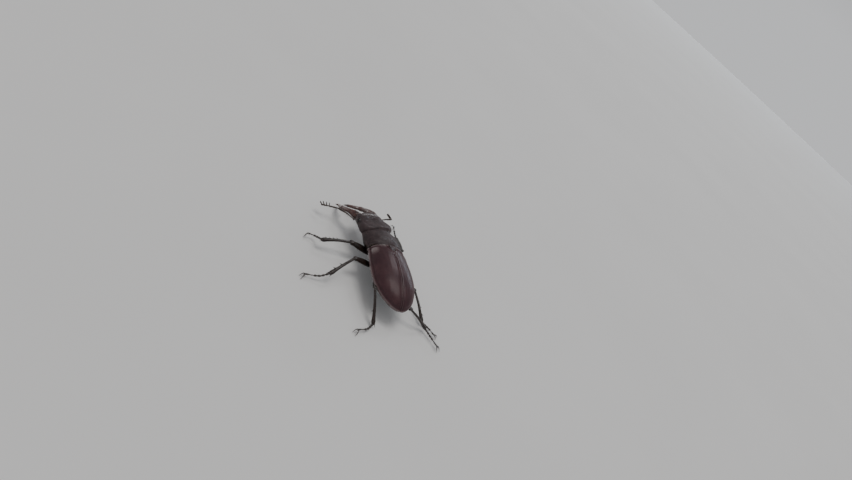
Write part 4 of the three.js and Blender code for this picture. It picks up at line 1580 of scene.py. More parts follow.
@dataclass
class Prothorax:
    """The shield behind the head and the plate under it, turned a little with the head.

    `hair_rows` gives each row's share of the length, its direction and its number of hairs.
    """

    rear: float = 0.42
    back: float = -0.55
    front: float = 9.4
    margin: float = RIDE_HEIGHT - 0.1
    half: Knots = ((0, 6.9), (0.15, 7.3), (0.48, 7.65), (0.82, 7.3), (1, 6.5))
    height: Knots = ((0, 3.85), (0.38, 4.2), (0.82, 3.6), (1, 2.85))
    depth: Knots = ((0, 3.0), (0.3, 4.0), (0.75, 3.8), (1, 2.4))
    crown: float = 0.8
    lip: float = 0.5
    squareness: float = 0.4
    tuck: float = 34.0
    wall: float = 0.4
    arc: float = 7.4  # millimetres round the shield for a turn of one radian
    rows: int = 96
    columns: int = 190
    hair_rows: tuple[tuple[float, float, int], ...] = ((0.985, 1.0, 520), (0.02, -1.0, 150))
    side_hairs: int = 110

    def forward(self, share: Array, left: Array) -> Array:
        """How far forward a share of the shield's length is, where it curves at both ends.

        Args:
            share: shares of the length.
            left: how far to the left they are.

        Returns:
            The places.
        """
        yaw = math.radians(PROTHORAX.yaw)
        across = left / 7.0
        rear = (self.rear + left * math.sin(yaw)) / math.cos(yaw) + 0.22 * np.abs(across) ** 3
        rear = rear - 0.1 * bell(across, 0.5) + 0.1
        front = self.front + 0.35 * (np.abs(across) ** 6 - 1) + 0.2 * bell(across, 0.7)
        return rear + (front - rear) * share

    def surface(self, share: Array, angle: Array) -> Array:
        """Points on the shield, where angles below zero and past a half turn are tucked under.

        Args:
            share: shares of the length.
            angle: angles round from the left.

        Returns:
            The points.
        """
        wide = profile(self.half)(share)
        left = wide * np.cos(angle)
        rise = np.sin(angle)
        top = profile(self.height)(share) * np.abs(rise) ** self.crown
        under = -self.lip * np.abs(rise) ** self.squareness
        up = self.margin + np.where(rise >= 0, top, under)
        return np.stack([self.forward(share, left), left, up], -1)

    def shield(self) -> Skin:
        """The shield, with a bead round it, a faint middle line and a dent on each side.

        Returns:
            The closed plate.
        """
        share = crowded(self.rows)[:, None]
        tuck = math.radians(self.tuck)
        angle = (-tuck + (np.pi + 2 * tuck) * crowded(self.columns))[None, :]
        points = self.surface(share, angle)
        normal = normals_of(points, points * [0, 1, 1] - [0, 0, 6])
        forward, left = points[..., 0], points[..., 1]
        from_rear = share * (forward[-1] - forward[0])
        from_front = (1 - share) * (forward[-1] - forward[0])
        side = self.arc * np.minimum(np.abs(angle), np.abs(angle - np.pi)) + 0 * share
        on_top = np.sin(angle) > 0
        relief = 0.10 * bell(side - 0.05, 0.32) - on_top * 0.12 * bell(side - 0.95, 0.6)
        relief = relief + 0.09 * bell(from_rear - 0.3, 0.3) - 0.10 * bell(from_rear - 0.85, 0.4)
        relief = relief + 0.10 * bell(from_front - 0.32, 0.3) - 0.10 * bell(from_front - 0.95, 0.45)
        inside = smoothstep(0.6, 2.2, from_rear) * smoothstep(0.6, 2.2, from_front)
        relief = relief - 0.05 * bell(left, 0.5) * inside
        for way in SIDES.values():
            dent = ((forward - 4.2) / 1.1) ** 2 + ((left - way * 4.9) / 0.9) ** 2
            relief = relief - 0.14 * np.exp(-dent) * on_top
            low = ((forward - 6.8) / 1.2) ** 2 + ((left - way * 2.2) / 1.6) ** 2
            relief = relief - 0.07 * np.exp(-low)
        waves = ripple(points, 2.6, 0.4) + 0.6 * ripple(points, 1.1, 2.7)
        relief = relief + 0.014 * waves * inside
        relief = relief - rolled(from_rear, 0.28) - rolled(from_front, 0.24)
        ends = self.arc * np.minimum(angle + tuck, np.pi + tuck - angle)
        relief = relief - rolled(ends + 0 * share, 0.15)
        outer, inner = points + normal * relief[..., None], points - normal * self.wall
        return plate(outer, inner, np.clip(FLAT_SHADE + 2.0 * relief, 0.1, 1))

    def sternum(self) -> Skin:
        """The plate under the prothorax, with its middle keel between the front legs.

        Returns:
            The closed plate.
        """
        share = 0.03 + 0.93 * crowded(60)[:, None]
        angle = turns(110)
        wide = (profile(self.half)(share) - 0.7) * bend(np.cos(angle), 1.1)
        below = profile(self.depth)(share) * np.minimum(0, bend(np.sin(angle), 1.1))
        forward = self.back + (self.front - self.back) * share
        keel = -0.35 * bell(wide, 1.3) * bell(forward - 3.4, 3.2) * (np.sin(angle) < 0)
        groove = 0.14 * bell(forward - 6.3, 0.3) * (np.sin(angle) < 0)
        yaw = math.radians(PROTHORAX.yaw)
        rearmost = (self.rear + 0.1 + wide * math.sin(yaw)) / math.cos(yaw)
        forward = np.maximum(forward + 0 * wide, rearmost)
        up = self.margin - self.lip - 0.1 + below + keel + groove
        points = np.stack([forward, wide, up], -1)
        points[..., 2] += 0.02 * ripple(points, 1.5, 5.0)
        return body_of_rings(points, FLAT_SHADE - keel - groove)

    def fringe(self) -> Skin:
        """Short golden hairs in a row along the shield's front, rear and side edges.

        Returns:
            The coat.
        """
        coat, rng = Coat.seeded(4, 21)
        for part, (share, way, count) in enumerate(self.hair_rows):
            angle = rng.uniform(0.06, 0.94, count) * np.pi
            near = share + rng.normal(size=count) * 0.006
            roots = self.surface(near, angle) - [0, 0, 0.22]
            out = np.stack([0.9 * way + 0 * angle, 0.25 * np.cos(angle), 0.12 * np.sin(angle) - 0.16], 1)
            places = np.stack([angle / np.pi, near], 1)
            coat.grow(part, roots, out, places, (0.3, 0.6), 0.03, (0, 0, -0.1))
        for part, edge in ((2, 0.0), (3, np.pi)):
            share = rng.uniform(0.06, 0.94, self.side_hairs)
            angle = edge - math.copysign(0.1, 1.5 - edge) * rng.uniform(0.4, 1.0, self.side_hairs)
            roots = self.surface(share, angle)
            out = np.stack([0 * share, np.cos(angle), -0.6 + 0 * share], 1)
            places = np.stack([share, angle / 7 + 0.5], 1)
            coat.grow(part, roots - 0.05 * out, out, places, (0.22, 0.42), 0.028)
        return coat.skin()

    def build(self, finish: Material, below: Material, hair: Material) -> None:
        """Makes the shield, the plate under it and the fringe.

        Args:
            finish: the shield's finish.
            below: the underside's finish.
            hair: the fringe's finish.
        """
        self.shield().piece("neck_shield", PROTHORAX, finish, Slot.SHELL, ["pronotum"])
        self.sternum().piece("breast_plate", PROTHORAX, below, Slot.UNDERSIDE, ["prosternum"])
        self.fringe().piece("shield_fringe", PROTHORAX, hair, Slot.SHELL)


# ---------------- head
@dataclass
class Head:
    """The head with its crest, ridges, eyes and upper lip, in its own turned place."""

    half: Knots = (
        (-1.9, 3.8), (-0.3, 5.0), (0.9, 6.7), (2.6, 7.4), (4.6, 6.8), (6.4, 6.4), (8.1, 6.1), (9.2, 4.8),
        (9.8, 3.3),
    )
    top: Knots = ((-1.9, 1.35), (0.2, 2.0), (1.7, 2.48), (3.9, 2.22), (7.2, 2.0), (8.7, 1.8), (9.8, 0.7))
    bottom: Knots = ((-1.9, 1.3), (0.4, 2.2), (3.2, 2.6), (7.0, 2.1), (9.8, 1.0))
    ends: tuple[float, float] = (-1.9, 9.8)
    squareness: tuple[float, float, float] = (2.8, 2.5, 2.6)
    crest: tuple[Spot, ...] = ((4.9, 6.0), (3.4, 6.35), (1.8, 5.7), (1.0, 4.2), (1.05, 2.0), (1.2, 0.0))
    crest_width: Knots = ((0, 0.16), (0.3, 0.26), (0.7, 0.24), (1, 0.2))
    brow: tuple[Spot, ...] = ((8.6, -4.2), (8.9, -2.0), (8.95, 0), (8.9, 2.0), (8.6, 4.2))
    brow_width: Knots = ((0, 0.25), (0.2, 0.6), (0.5, 0.8), (0.8, 0.6), (1, 0.25))
    eye_at: Triple = (6.5, 5.5, 0.25)
    eye_radii: Triple = (1.05, 1.26, 0.94)
    eye_gap: float = 0.035
    ledge: tuple[Triple, ...] = (
        (9.2, 4.6, 0.85), (8.3, 5.5, 0.8), (7.4, 6.3, 0.62), (6.75, 6.8, 0.42), (6.2, 6.86, 0.3),
    )
    ledge_width: Knots = ((0, 0.42), (0.4, 0.34), (0.8, 0.22), (1, 0.14))
    jaw_knob: tuple[Triple, ...] = ((9.35, 1.75, 1.15), (9.75, 2.0, 0.2), (9.6, 1.9, -0.8))
    dent: tuple[Triple, ...] = ((5.9, 3.5, 3.0), (4.5, 3.9, 2.95), (3.2, 3.1, 3.2))
    throat_furrow: tuple[Triple, ...] = ((2.6, 3.1, -2.62), (6.0, 2.7, -2.4), (8.2, 2.9, -2.0))
    # how much the brow's shade is raised: more gloss, and a paler colour that is a painted highlight bar
    polish: float = 0.42
    cell: float = 0.13
    fine_cell: float = 0.07

    def _over(self, spots: Iterable[Spot], lift: float, side: int = 1) -> list[Triple]:
        """Places points at a height over the plain head's top.

        Args:
            spots: how far forward and how far to the side each one is.
            lift: the height over the top.
            side: 1 for the left, -1 for the right.

        Returns:
            The points.
        """
        half, top = profile(self.half), profile(self.top)
        points = []
        for forward, out in spots:
            share = (abs(out) / half(forward)) ** self.squareness[0]
            points.append((forward, side * out, float(top(forward) * (1 - share) ** 0.4) + lift))
        return points

    def _skull(self) -> Lump:
        """The plain head: a squared oval section that widens at the temples.

        Returns:
            The lump.
        """
        half, top, bottom = profile(self.half), profile(self.top), profile(self.bottom)
        sideways, upright, both = self.squareness
        rear, front = self.ends

        def rough(p: Array) -> Array:
            """Below zero inside the head.

            Args:
                p: the points.

            Returns:
                The values.
            """
            high = np.where(p[:, 2] > 0, top(p[:, 0]), bottom(p[:, 0]))
            across = np.abs(p[:, 1]) / half(p[:, 0])
            section = (across**sideways + (np.abs(p[:, 2]) / high) ** upright) ** (1 / both) - 1
            past = np.maximum(p[:, 0] - front, rear - p[:, 0]) + 0.35
            return section * 2.2 + np.maximum(past, 0) ** 2

        return evened(rough, (rear - 0.6, -7.7, -2.9), (front + 0.6, 7.7, 3.2))

    def clay(self) -> Clay:
        """The modelled head.

        Returns:
            The clay.
        """
        head = Clay().add(self._skull(), 0.2)
        f, left, up = self.eye_at
        socket = tuple(r + self.eye_gap for r in self.eye_radii)
        for side in SIDES.values():
            head.add(Limb(self._over(self.crest, -0.16, side), self.crest_width, 0.8), 0.8)
            head.add(ball((2.9, side * 6.1, 0.4), (1.7, 1.3, 1.1)), 0.8)
            head.cut(ball((f, side * left, up), socket), 0.06)
            head.add(Limb(mirrored(self.ledge, side), self.ledge_width, 0.6), 0.25)
            head.cut(ball((9.0, side * 5.9, -0.85), (0.85, 0.75, 0.6)), 0.2)
            head.cut(ball((10.5, side * 3.5, 0.0), (1.5, 1.9, 1.25)), 0.25)
            head.add(Limb(mirrored(self.jaw_knob, side), ((0, 0.25), (0.5, 0.38), (1, 0.25))), 0.3)
            head.cut(Limb(mirrored(self.dent, side), ((0, 0.5), (0.5, 0.85), (1, 0.5))), 0.6)
            head.cut(Limb(mirrored(self.throat_furrow, side), ((0, 0.05), (1, 0.12))), 0.15)
        head.cut(ball((6.6, 0, 5.35), (2.6, 4.4, 3.75)), 0.7)
        head.add(Limb(self._over(self.brow, 0.07), self.brow_width, 0.38, FORWARD), 0.3)
        head.add(ball((7.5, 0, -1.95), (2.0, 2.5, 0.42)), 0.12)
        head.add(Limb([(-3.4, 0, -0.1), (-1.4, 0, 0)], ((0, 3.0), (1, 3.4)), 0.42), 0.4)
        head.relief = lambda p: 0.022 * ripple(p, 1.3, 1.0) + 0.012 * ripple(p, 0.5, 2.0)
        return head

    def _eye(self, side: int) -> Skin:
        """An eye, as the egg that fills its socket."""
        f, left, up = self.eye_at
        return Clay().add(ball((f, side * left, up), self.eye_radii)).skin(self.fine_cell)

    def _lip(self) -> Skin:
        """The upper lip, bent down between the jaws.

        Returns:
            Its skin.
        """
        lip = Clay().add(Limb([(9.3, 0, 0.1), (10.4, 0, -0.25), (11.25, 0, -0.85)],
                              ((0, 1.75), (0.6, 1.3), (1, 0.5)), 0.38), 0.1)
        lip.cut(ball((11.7, 0, -0.5), (0.5, 0.35, 0.6)), 0.2)
        lip.relief = lambda p: 0.02 * ripple(p, 0.5, 3.0)
        return lip.skin(self.fine_cell)

    def build(self, finish: Material, eye: Material, jaw: Material) -> None:
        """Makes the head, the eyes and the lip.

        Args:
            finish: the shell's finish.
            eye: the eyes' finish.
            jaw: the lip's finish, as on the jaws.
        """
        skin = self.clay().skin(self.cell)
        forward, left, up = skin.points.T
        # the brow band: more gloss, and a paler colour as a painted highlight bar across the head's front
        front = bell(forward - 8.5 + 0.02 * left**2, 1.0) * smoothstep(4.6, 3.6, np.abs(left)) * (up > 1)
        skin.shade = skin.shade + self.polish * front
        skin.piece("head_capsule", HEAD, finish, Slot.SHELL, ["head"])
        for name, side in SIDES.items():
            self._eye(side).piece(f"faceted_eye_{name}", HEAD, eye, Slot.EYE, [f"eye_{name}"])
        self._lip().piece("upper_lip", HEAD, jaw, Slot.JAW, ["labrum"])


@dataclass
class Jaws:
    """The two antler-like jaws.

    `big_tooth` gives a share of the length, then how far forward and inward the tooth reaches. `keel`
    and `hollow` give shares of the length, the height over the line there and how far to the side.
    """

    line: tuple[Triple, ...] = (
        (9.0, 3.5, 0.1), (12.2, 4.8, -0.7), (15.4, 4.9, -2.1), (18.8, 3.7, -3.9), (21.9, 1.1, -5.5),
    )
    width: Knots = (
        (0, 1.65), (0.12, 1.6), (0.25, 1.28), (0.45, 1.08), (0.6, 1.02), (0.8, 0.8), (0.93, 0.5), (1, 0.2),
    )
    flat: float = 0.74
    big_tooth: tuple[float, float, float] = (0.55, 1.5, 2.9)
    small_teeth: tuple[float, ...] = (0.70, 0.77, 0.84)
    keel: tuple[Triple, ...] = (
        (0.05, 1.0, 0.4), (0.25, 0.88, 0.5), (0.5, 0.68, 0.45), (0.75, 0.5, 0.3), (0.95, 0.25, 0.0),
    )
    hollow: tuple[Triple, ...] = ((0.08, 1.35, 0.5), (0.25, 1.1, 0.45), (0.42, 0.92, 0.45))
    # how much the upper side's shade is raised: more gloss, and a paler colour as painted highlight
    polish: float = 0.45
    cell: float = 0.085

    def clay(self, side: int) -> Clay:
        """One modelled jaw.

        Args:
            side: 1 for the left, -1 for the right.

        Returns:
            The clay.
        """
        inward = np.array([0.0, -side, 0.0])
        blade = Limb(mirrored(self.line, side), self.width, self.flat, LEFT)
        line = blade.line
        jaw = Clay().add(blade, 0.2)
        jaw.add(ball(line.at(0.1) - 0.75 * inward, (1.7, 1.25, 1.15)), 0.8)
        jaw.add(ball(line.at(0.16) + 0.75 * inward + [0.3, 0, -0.1], (1.3, 1.1, 0.85)), 0.6)
        share, forward, reach = self.big_tooth
        root = line.at(share)
        tooth = [root - 0.2 * inward, root + [0.55 * forward, 0, -0.15] + 0.6 * reach * inward,
                 root + [forward, 0, -0.35] + reach * inward]
        jaw.add(Limb(tooth, ((0, 1.0), (0.35, 0.72), (0.8, 0.36), (1, 0.14)), 0.72, FORWARD), 0.5)
        for t in self.small_teeth:
            start = line.at(t) + 0.35 * inward
            end = line.at(t) + 1.25 * inward + [0.35, 0, -0.1]
            jaw.add(Limb([start, end], ((0, 0.42), (1, 0.1)), 0.8, FORWARD), 0.25)
        start = line.at(0.9) - 0.1 * inward
        fork = [start, start + [0.2, 0, -0.1] - 0.7 * inward, start + [0.75, 0, -0.25] - 1.35 * inward]
        jaw.add(Limb(fork, ((0, 0.5), (0.6, 0.34), (1, 0.12)), 0.85, FORWARD), 0.3)
        keel = [line.at(t) + [0, 0, lift] - out * inward for t, lift, out in self.keel]
        jaw.add(Limb(keel, ((0, 0.3), (0.5, 0.24), (1, 0.12))), 0.35)
        hollow = [line.at(t) + [0, 0, lift] + into * inward for t, lift, into in self.hollow]
        jaw.cut(Limb(hollow, ((0, 0.3), (0.5, 0.42), (1, 0.2))), 0.3)
        jaw.relief = lambda p: 0.02 * ripple(p, 0.8, 1.5) + 0.008 * ripple(p, 0.3, 0.3)
        return jaw

    def build(self, finish: Material) -> None:
        """Makes both jaws.

        Args:
            finish: the jaws' finish.
        """
        for name, side in SIDES.items():
            skin = self.clay(side).skin(self.cell)
            line = Line(mirrored(self.line, side)).at(np.linspace(0, 1, 60))
            forward, _, up = skin.points.T
            above = up - np.interp(forward, line[:, 0], line[:, 2])
            # upper side towards the tip: more gloss and a paler painted highlight; the tips themselves
            # darken in their own colour
            polished = smoothstep(0.05, 0.4, above) * smoothstep(11.0, 15.0, forward)
            skin.shade = skin.shade + self.polish * polished - 0.2 * smoothstep(13.0, 19.0, forward)
            skin.piece(f"jaw_{name}", HEAD, finish, Slot.JAW, [f"mandible_{name}"])


# ---------------- feelers
@dataclass
class Feeler:
    """One elbowed feeler: the long scape, the beaded shaft and the comb of leaves at its end."""

    name: str
    socket: Triple
    elbow: Triple
    shaft_end: Triple
    tip: Triple
    beads: int = 6
    leaves: int = 4
    thick: float = 0.3
    leaf_reach: float = 1.75
    scape_width: Knots = ((0, 0.2), (0.06, 0.3), (0.1, 0.2), (0.5, 0.25), (0.85, 0.36), (1, 0.3))
    bead_width: Knots = ((0, 0.5), (0.45, 0.85), (0.85, 1.15), (1, 0.95))
    cell: float = 0.045

    def scape(self) -> Skin:
        """The first long joint, bowed, and swollen at its end.

        Returns:
            Its skin.
        """
        socket, elbow = np.array(self.socket), np.array(self.elbow)
        inner = socket + 0.1 * (np.array([6.0, 0.85 * socket[1], -0.6]) - socket)
        middle = 0.5 * (socket + elbow) + [0, 0, 0.25]
        shape = Limb([inner, middle, elbow], self.scape_width, 0.9, UP)
        clay = Clay().add(shape, 0.1).add(ball(socket, (0.42, 0.42, 0.42)), 0.1)
        return clay.skin(0.05)

    def shaft(self) -> Skin:
        """The small joints after the elbow, each like a bead with a narrow neck.

        Returns:
            Its skin.
        """
        start, end = np.array(self.elbow), np.array(self.shaft_end)
        start = start + 0.05 * (end - start)
        clay = Clay()
        for bead in range(self.beads):
            a = start + (end - start) * (bead + 0.02) / self.beads
            b = start + (end - start) * (bead + 0.86) / self.beads
            grown = self.thick * (1 + 0.12 * bead / self.beads)
            clay.add(Limb([a, b], scaled(self.bead_width, grown)), 0.04)
        clay.add(Limb([start, end], ((0, 0.14), (1, 0.14))), 0.05)
        return clay.skin(self.cell)

    def _leaf_lines(self) -> list[tuple[Array, Array, float]]:
        """Each leaf's foot, its direction and its length.

        Returns:
            The three for each leaf.
        """
        start, end = np.array(self.shaft_end), np.array(self.tip)
        along = unit(end - start)
        lean = unit(np.array(FORWARD) - along * along[0] + 0.25 * along)
        lines = []
        for leaf in range(self.leaves):
            foot = start + (end - start) * (leaf + 0.4) / self.leaves
            reach = self.leaf_reach * (0.62 + 0.38 * math.sin((leaf + 1) / self.leaves * 2.4))
            lines.append((foot, unit(lean + 0.16 * (leaf - 1.0) * along), reach))
        return lines

    def club(self) -> Skin:
        """The comb: flat leaves that stand off the shaft to one side.

        Returns:
            Its skin.
        """
        start, end = np.array(self.shaft_end), np.array(self.tip)
        along = unit(end - start)
        clay = Clay().add(Limb([start, end - 0.4 * along], ((0, 0.2), (0.5, 0.26), (1, 0.3))), 0.05)
        for foot, way, reach in self._leaf_lines():
            back = foot - 0.25 * way
            broad = np.cross(way, along)
            shape = Limb([back, foot + 0.5 * reach * way, foot + reach * way],
                         ((0, 0.34), (0.5, 0.42), (0.9, 0.4), (1, 0.32)), 0.42, broad)
            clay.add(shape, 0.06)
        clay.relief = lambda p: 0.012 * ripple(p, 0.3, 1.0)
        return clay.skin(self.cell)

    def hairs(self, coat: Coat, part: int, rng: np.random.Generator) -> None:
        """Plants the feeler's hairs: stray ones on the scape and the shaft, short down on the leaves.

        Args:
            coat: the coat.
            part: its band for this feeler.
            rng: the source of chance.
        """
        for k, (a, b) in enumerate(((self.socket, self.elbow), (self.elbow, self.shaft_end))):
            limb = Limb([a, b], ((0, self.thick), (1, self.thick)), 1.0, UP)
            share, angle = rng.uniform(0.1, 1, 60), rng.uniform(0, 2 * np.pi, 60)
            roots, out = limb.spot(share, angle)
            ways = 0.6 * out + limb.line.way(share)
            places = np.stack([(k + share) / 4, angle / (2 * np.pi)], 1)
            coat.grow(part, roots - 0.12 * out, ways, places, (0.25, 0.5), 0.022)
        for k, (foot, way, reach) in enumerate(self._leaf_lines()):
            broad = np.cross(way, np.array(self.tip) - np.array(self.shaft_end))
            limb = Limb([foot, foot + reach * way], ((0, 0.36), (1, 0.36)), 0.5, broad)
            share, angle = rng.uniform(0.1, 1, 90), rng.uniform(0, 2 * np.pi, 90)
            roots, out = limb.spot(share, angle)
            places = np.stack([0.5 + (k + share) / 8, angle / (2 * np.pi)], 1)
            coat.grow(part, roots - 0.06 * out, out + 0.5 * way, places, (0.07, 0.14), 0.016)

    def build(self, finish: Material) -> None:
        """Makes the three lengths.

        Args:
            finish: the feelers' finish.
        """
        side = self.name
        self.scape().piece(f"feeler_scape_{side}", HEAD, finish, Slot.FEELER, [f"scape_{side}"])
        self.shaft().piece(f"feeler_shaft_{side}", HEAD, finish, Slot.FEELER, [f"funicle_{side}"])
        self.club().piece(f"feeler_comb_{side}", HEAD, finish, Slot.FEELER, [f"antenna_club_{side}"])


@dataclass
class Mouth:
    """The jointed palps and the golden brush between them."""

    palps: dict[str, tuple[tuple[Triple, ...], float]] = field(default_factory=lambda: {
        "maxillary_palp": (((8.2, 2.3, -1.5), (10.6, 3.6, -2.0), (12.6, 3.3, -2.3)), 0.3),
        "labial_palp": (((8.5, 0.8, -1.35), (10.2, 1.4, -1.9), (11.6, 1.3, -2.1)), 0.25),
    })
    joints: int = 3
    hairs: int = 420

    def palp(self, knots: Sequence[Triple], thick: float, side: int) -> Skin:
        """One palp of swollen joints.

        Args:
            knots: its line, on the left.
            thick: half its width.
            side: 1 for the left, -1 for the right.

        Returns:
            Its skin.
        """
        line = Line(mirrored(knots, side))
        core = line.points[:: LINE_SAMPLES // 6]
        clay = Clay().add(Limb(core, scaled(((0, 0.6), (1, 0.55)), thick)), 0.05)
        for k in range(self.joints):
            stretch = line.at(np.linspace((k + 0.05) / self.joints, (k + 0.9) / self.joints, 5))
            swell = scaled(((0, 0.6), (0.6, 1.1), (0.9, 1.15), (1, 0.9)), thick)
            clay.add(Limb(stretch, swell), 0.04)
        return clay.skin(0.05)

    def brush(self) -> Skin:
        """The golden tongue and jaw tufts below the upper lip.

        Returns:
            The coat.
        """
        coat, rng = Coat.seeded(3, 31)
        for part, left in enumerate((-0.95, 0.0, 0.95)):
            u, v = rng.uniform(-1, 1, self.hairs // 3), rng.uniform(-1, 1, self.hairs // 3)
            roots = np.stack([9.4 + 0.5 * v, left + 0.5 * u, -1.2 + 0.25 * v], 1)
            ways = np.stack([1.0 + 0 * u, 0.25 * u, -0.28 + 0.1 * v], 1)
            places = np.stack([u, v], 1) / 2 + 0.5
            coat.grow(part, roots, ways, places, (1.3, 2.4), 0.045, (0, 0, -0.18), 0.12)
        return coat.skin()

    def build(self, finish: Material, hair: Material) -> None:
        """Makes the palps and the brush.

        Args:
            finish: the palps' finish.
            hair: the brush's finish.
        """
        for label, (knots, thick) in self.palps.items():
            for name, side in SIDES.items():
                skin = self.palp(knots, thick, side)
                skin.piece(f"jointed_{label}_{name}", HEAD, finish, Slot.FEELER, [f"{label}_{name}"])
        self.brush().piece("mouth_brush", HEAD, hair, Slot.FEELER)


# ---------------- legs
@dataclass(frozen=True)
class LegSizes:
    """Widths of one pair's legs, and the number of teeth on the shin."""

    coxa: float
    femur: float
    tibia: float
    teeth: int
    tarsus: float = 0.85


@dataclass
class Leg:
    """One leg from its root in the body to its two claws, with the bristles on it."""

    name: str
    sizes: LegSizes
    coxa: Triple
    knee: Triple
    ankle: Triple
    arch: Triple
    claw_root: Triple
    claw_tip: Triple
    joints: tuple[float, ...] = (0, 0.17, 0.33, 0.49, 0.64, 1)
    joint_swell: Knots = ((0, 0.56), (0.35, 0.66), (0.8, 1.02), (1, 0.9))
    last_swell: Knots = ((0, 0.42), (0.5, 0.5), (0.85, 0.78), (1, 0.6))
    crown_spines: int = 12

    @property
    def side(self) -> int:
        """1 on the left and -1 on the right."""
        return SIDES[self.name.split("_")[1]]

    @staticmethod
    def _level(a: Triple, b: Triple) -> Array:
        """The level direction square to the line between two points."""
        return unit(np.cross(np.array(b) - np.array(a), UP))

    @cached_property
    def thigh(self) -> Limb:
        """The femur's main shape.

        Returns:
            The limb.
        """
        half = self.sizes.femur / 2
        swell = ((0, 0.5), (0.1, 0.7), (0.35, 0.98), (0.62, 0.98), (0.85, 0.78), (0.95, 0.66), (1, 0.5))
        a, b = np.array(self.coxa), np.array(self.knee)
        middle = 0.5 * (a + b) + [0, 0, 0.18]
        return Limb([a, middle, b], scaled(swell, half), 0.7, self._level(a, b))

    @cached_property
    def shin(self) -> Limb:
        """The tibia's main shape, ridged along its length.

        Returns:
            The limb.
        """
        half = self.sizes.tibia / 2
        a, b = np.array(self.knee), np.array(self.ankle)
        middle = a + 0.45 * (b - a) + [0, 0, 0.35]
        swell = ((0, 0.5), (0.06, 0.72), (0.2, 0.78), (0.5, 0.86), (0.8, 1.05), (0.94, 1.3), (1, 1.05))

        def ridges(share: Array, x: Array, y: Array) -> Array:
            """Four low ridges with furrows between them."""
            fade = smoothstep(0.05, 0.2, share) * smoothstep(1.0, 0.9, share)
            return 0.035 * half * fade * np.cos(6 * np.arctan2(y, x))

        return Limb([a, middle, b], scaled(swell, half), 0.78, self._level(a, b), ridges)

    @cached_property
    def foot(self) -> Limb:
        """The tarsus's line.

        Returns:
            The limb.
        """
        half = 0.5 * self.sizes.tarsus
        level = self._level(self.ankle, self.claw_root)
        return Limb([self.ankle, self.arch, self.claw_root], ((0, half), (1, half)), 0.9, level)

    def hip(self) -> Skin:
        """The coxa and the small trochanter at its end.

        Returns:
            Its skin.
        """
        f, left, up = self.coxa
        root = (f + 0.3, left * 0.78, up + 2.2)
        width = scaled(((0, 1.0), (0.6, 0.98), (0.9, 0.78), (1, 0.6)), self.sizes.coxa / 2)
        clay = Clay().add(Limb([root, self.coxa], width, 0.85), 0.1)
        start = self.thigh.line.at(0.0)
        clay.add(ball(start + 0.35 * self.thigh.line.way(0.0), (0.72, 0.72, 0.6)), 0.15)
        clay.relief = lambda p: 0.02 * ripple(p, 0.7, 1.0)
        return clay.skin(0.1)

    def femur(self) -> Skin:
        """The thigh, with a furrow under its end for the shin and two lobes at the knee.

        Returns:
            Its skin.
        """
        line, (side, up) = self.thigh.line, self.thigh.axes
        clay = Clay().add(self.thigh, 0.1)
        lobe = self.sizes.femur
        for way in (-1, 1):
            centre = line.at(0.965) + way * 0.26 * lobe * side[-1] * 0.8
            axes = np.stack([line.tangents[-1], side[-1], up[-1]])
            clay.add(ball(centre, (0.34 * lobe, 0.13 * lobe, 0.25 * lobe), axes), 0.12)
        down = -up * np.sign((up @ np.array(UP)))[:, None]
        drops = scaled(((0.72, 0.46), (0.88, 0.3), (1.0, 0.12)), lobe)
        furrow = [line.at(t) + drop * down[round(t * (LINE_SAMPLES - 1))] for t, drop in drops]
        clay.cut(Limb(furrow, scaled(((0, 0.1), (1, 0.17)), lobe)), 0.12)
        clay.relief = lambda p: 0.018 * ripple(p, 0.9, 2.0) + 0.007 * ripple(p, 0.35, 1.0)
        return clay.skin(0.085)

    def tibia(self) -> Skin:
        """The shin, with teeth on its outer edge and two spurs at its end.

        Returns:
            Its skin.
        """
        line, across = self.shin.line, self._level(self.knee, self.ankle)
        half = self.sizes.tibia / 2
        knob = 0.62 * half
        clay = Clay().add(self.shin, 0.08).add(ball(line.at(0.01), (knob, knob, knob)), 0.08)
        for k in range(self.sizes.teeth):
            t = 0.4 + 0.48 * (k + 0.5) / self.sizes.teeth
            grown = 0.75 + 0.25 * k / max(1, self.sizes.teeth - 1)
            root = line.at(t) + 0.3 * half * self.side * across
            end = line.at(t) + self.side * across * (half + 0.75 * grown) + line.way(t) * 0.5 * grown
            bent = 0.5 * (root + end) - 0.08 * line.way(t)
            width = ((0, 0.36 * grown), (0.5, 0.22 * grown), (1, 0.06))
            clay.add(Limb([root, bent, end], width, 0.8), 0.15)
        for way in (-1, 1):
            root = line.at(0.93) + way * 0.3 * half * across
            end = line.at(1.0) + way * across * 0.75 + line.way(1.0) * 1.15
            bent = 0.5 * (root + end) + way * 0.1 * across
            clay.add(Limb([root, bent, end], ((0, 0.22), (0.5, 0.17), (1, 0.05))), 0.1)
        on, up = line.way(1.0), self.shin.axes[1][-1]
        for a in np.linspace(0, 2 * np.pi, self.crown_spines + 1)[:-1]:
            spot = line.at(0.975) + 0.85 * half * (across * math.cos(a) + up * 0.8 * math.sin(a))
            clay.add(Limb([spot - 0.15 * on, spot + 0.3 * on], ((0, 0.09), (1, 0.03))), 0.05)
        clay.relief = lambda p: 0.012 * ripple(p, 0.5, 3.0)
        return clay.skin(0.065)

    def tarsus(self) -> Skin:
        """The foot's five joints, each widest at its far end.

        Returns:
            Its skin.
        """
        line = self.foot.line
        half = self.sizes.tarsus / 2
        broad = self._level(self.ankle, self.claw_root)
        clay = Clay()
        for a, b in zip(self.joints, self.joints[1:]):
            swell = self.last_swell if b == self.joints[-1] else self.joint_swell
            stretch = line.at(np.linspace(a + 0.012, b - 0.02, 6))
            clay.add(Limb(stretch, scaled(swell, half), 0.85, broad), 0.05)
        core = line.at(np.linspace(0, 0.99, 12))
        clay.add(Limb(core, scaled(((0, 0.5), (1, 0.35)), half)), 0.08)
        return clay.skin(0.05)

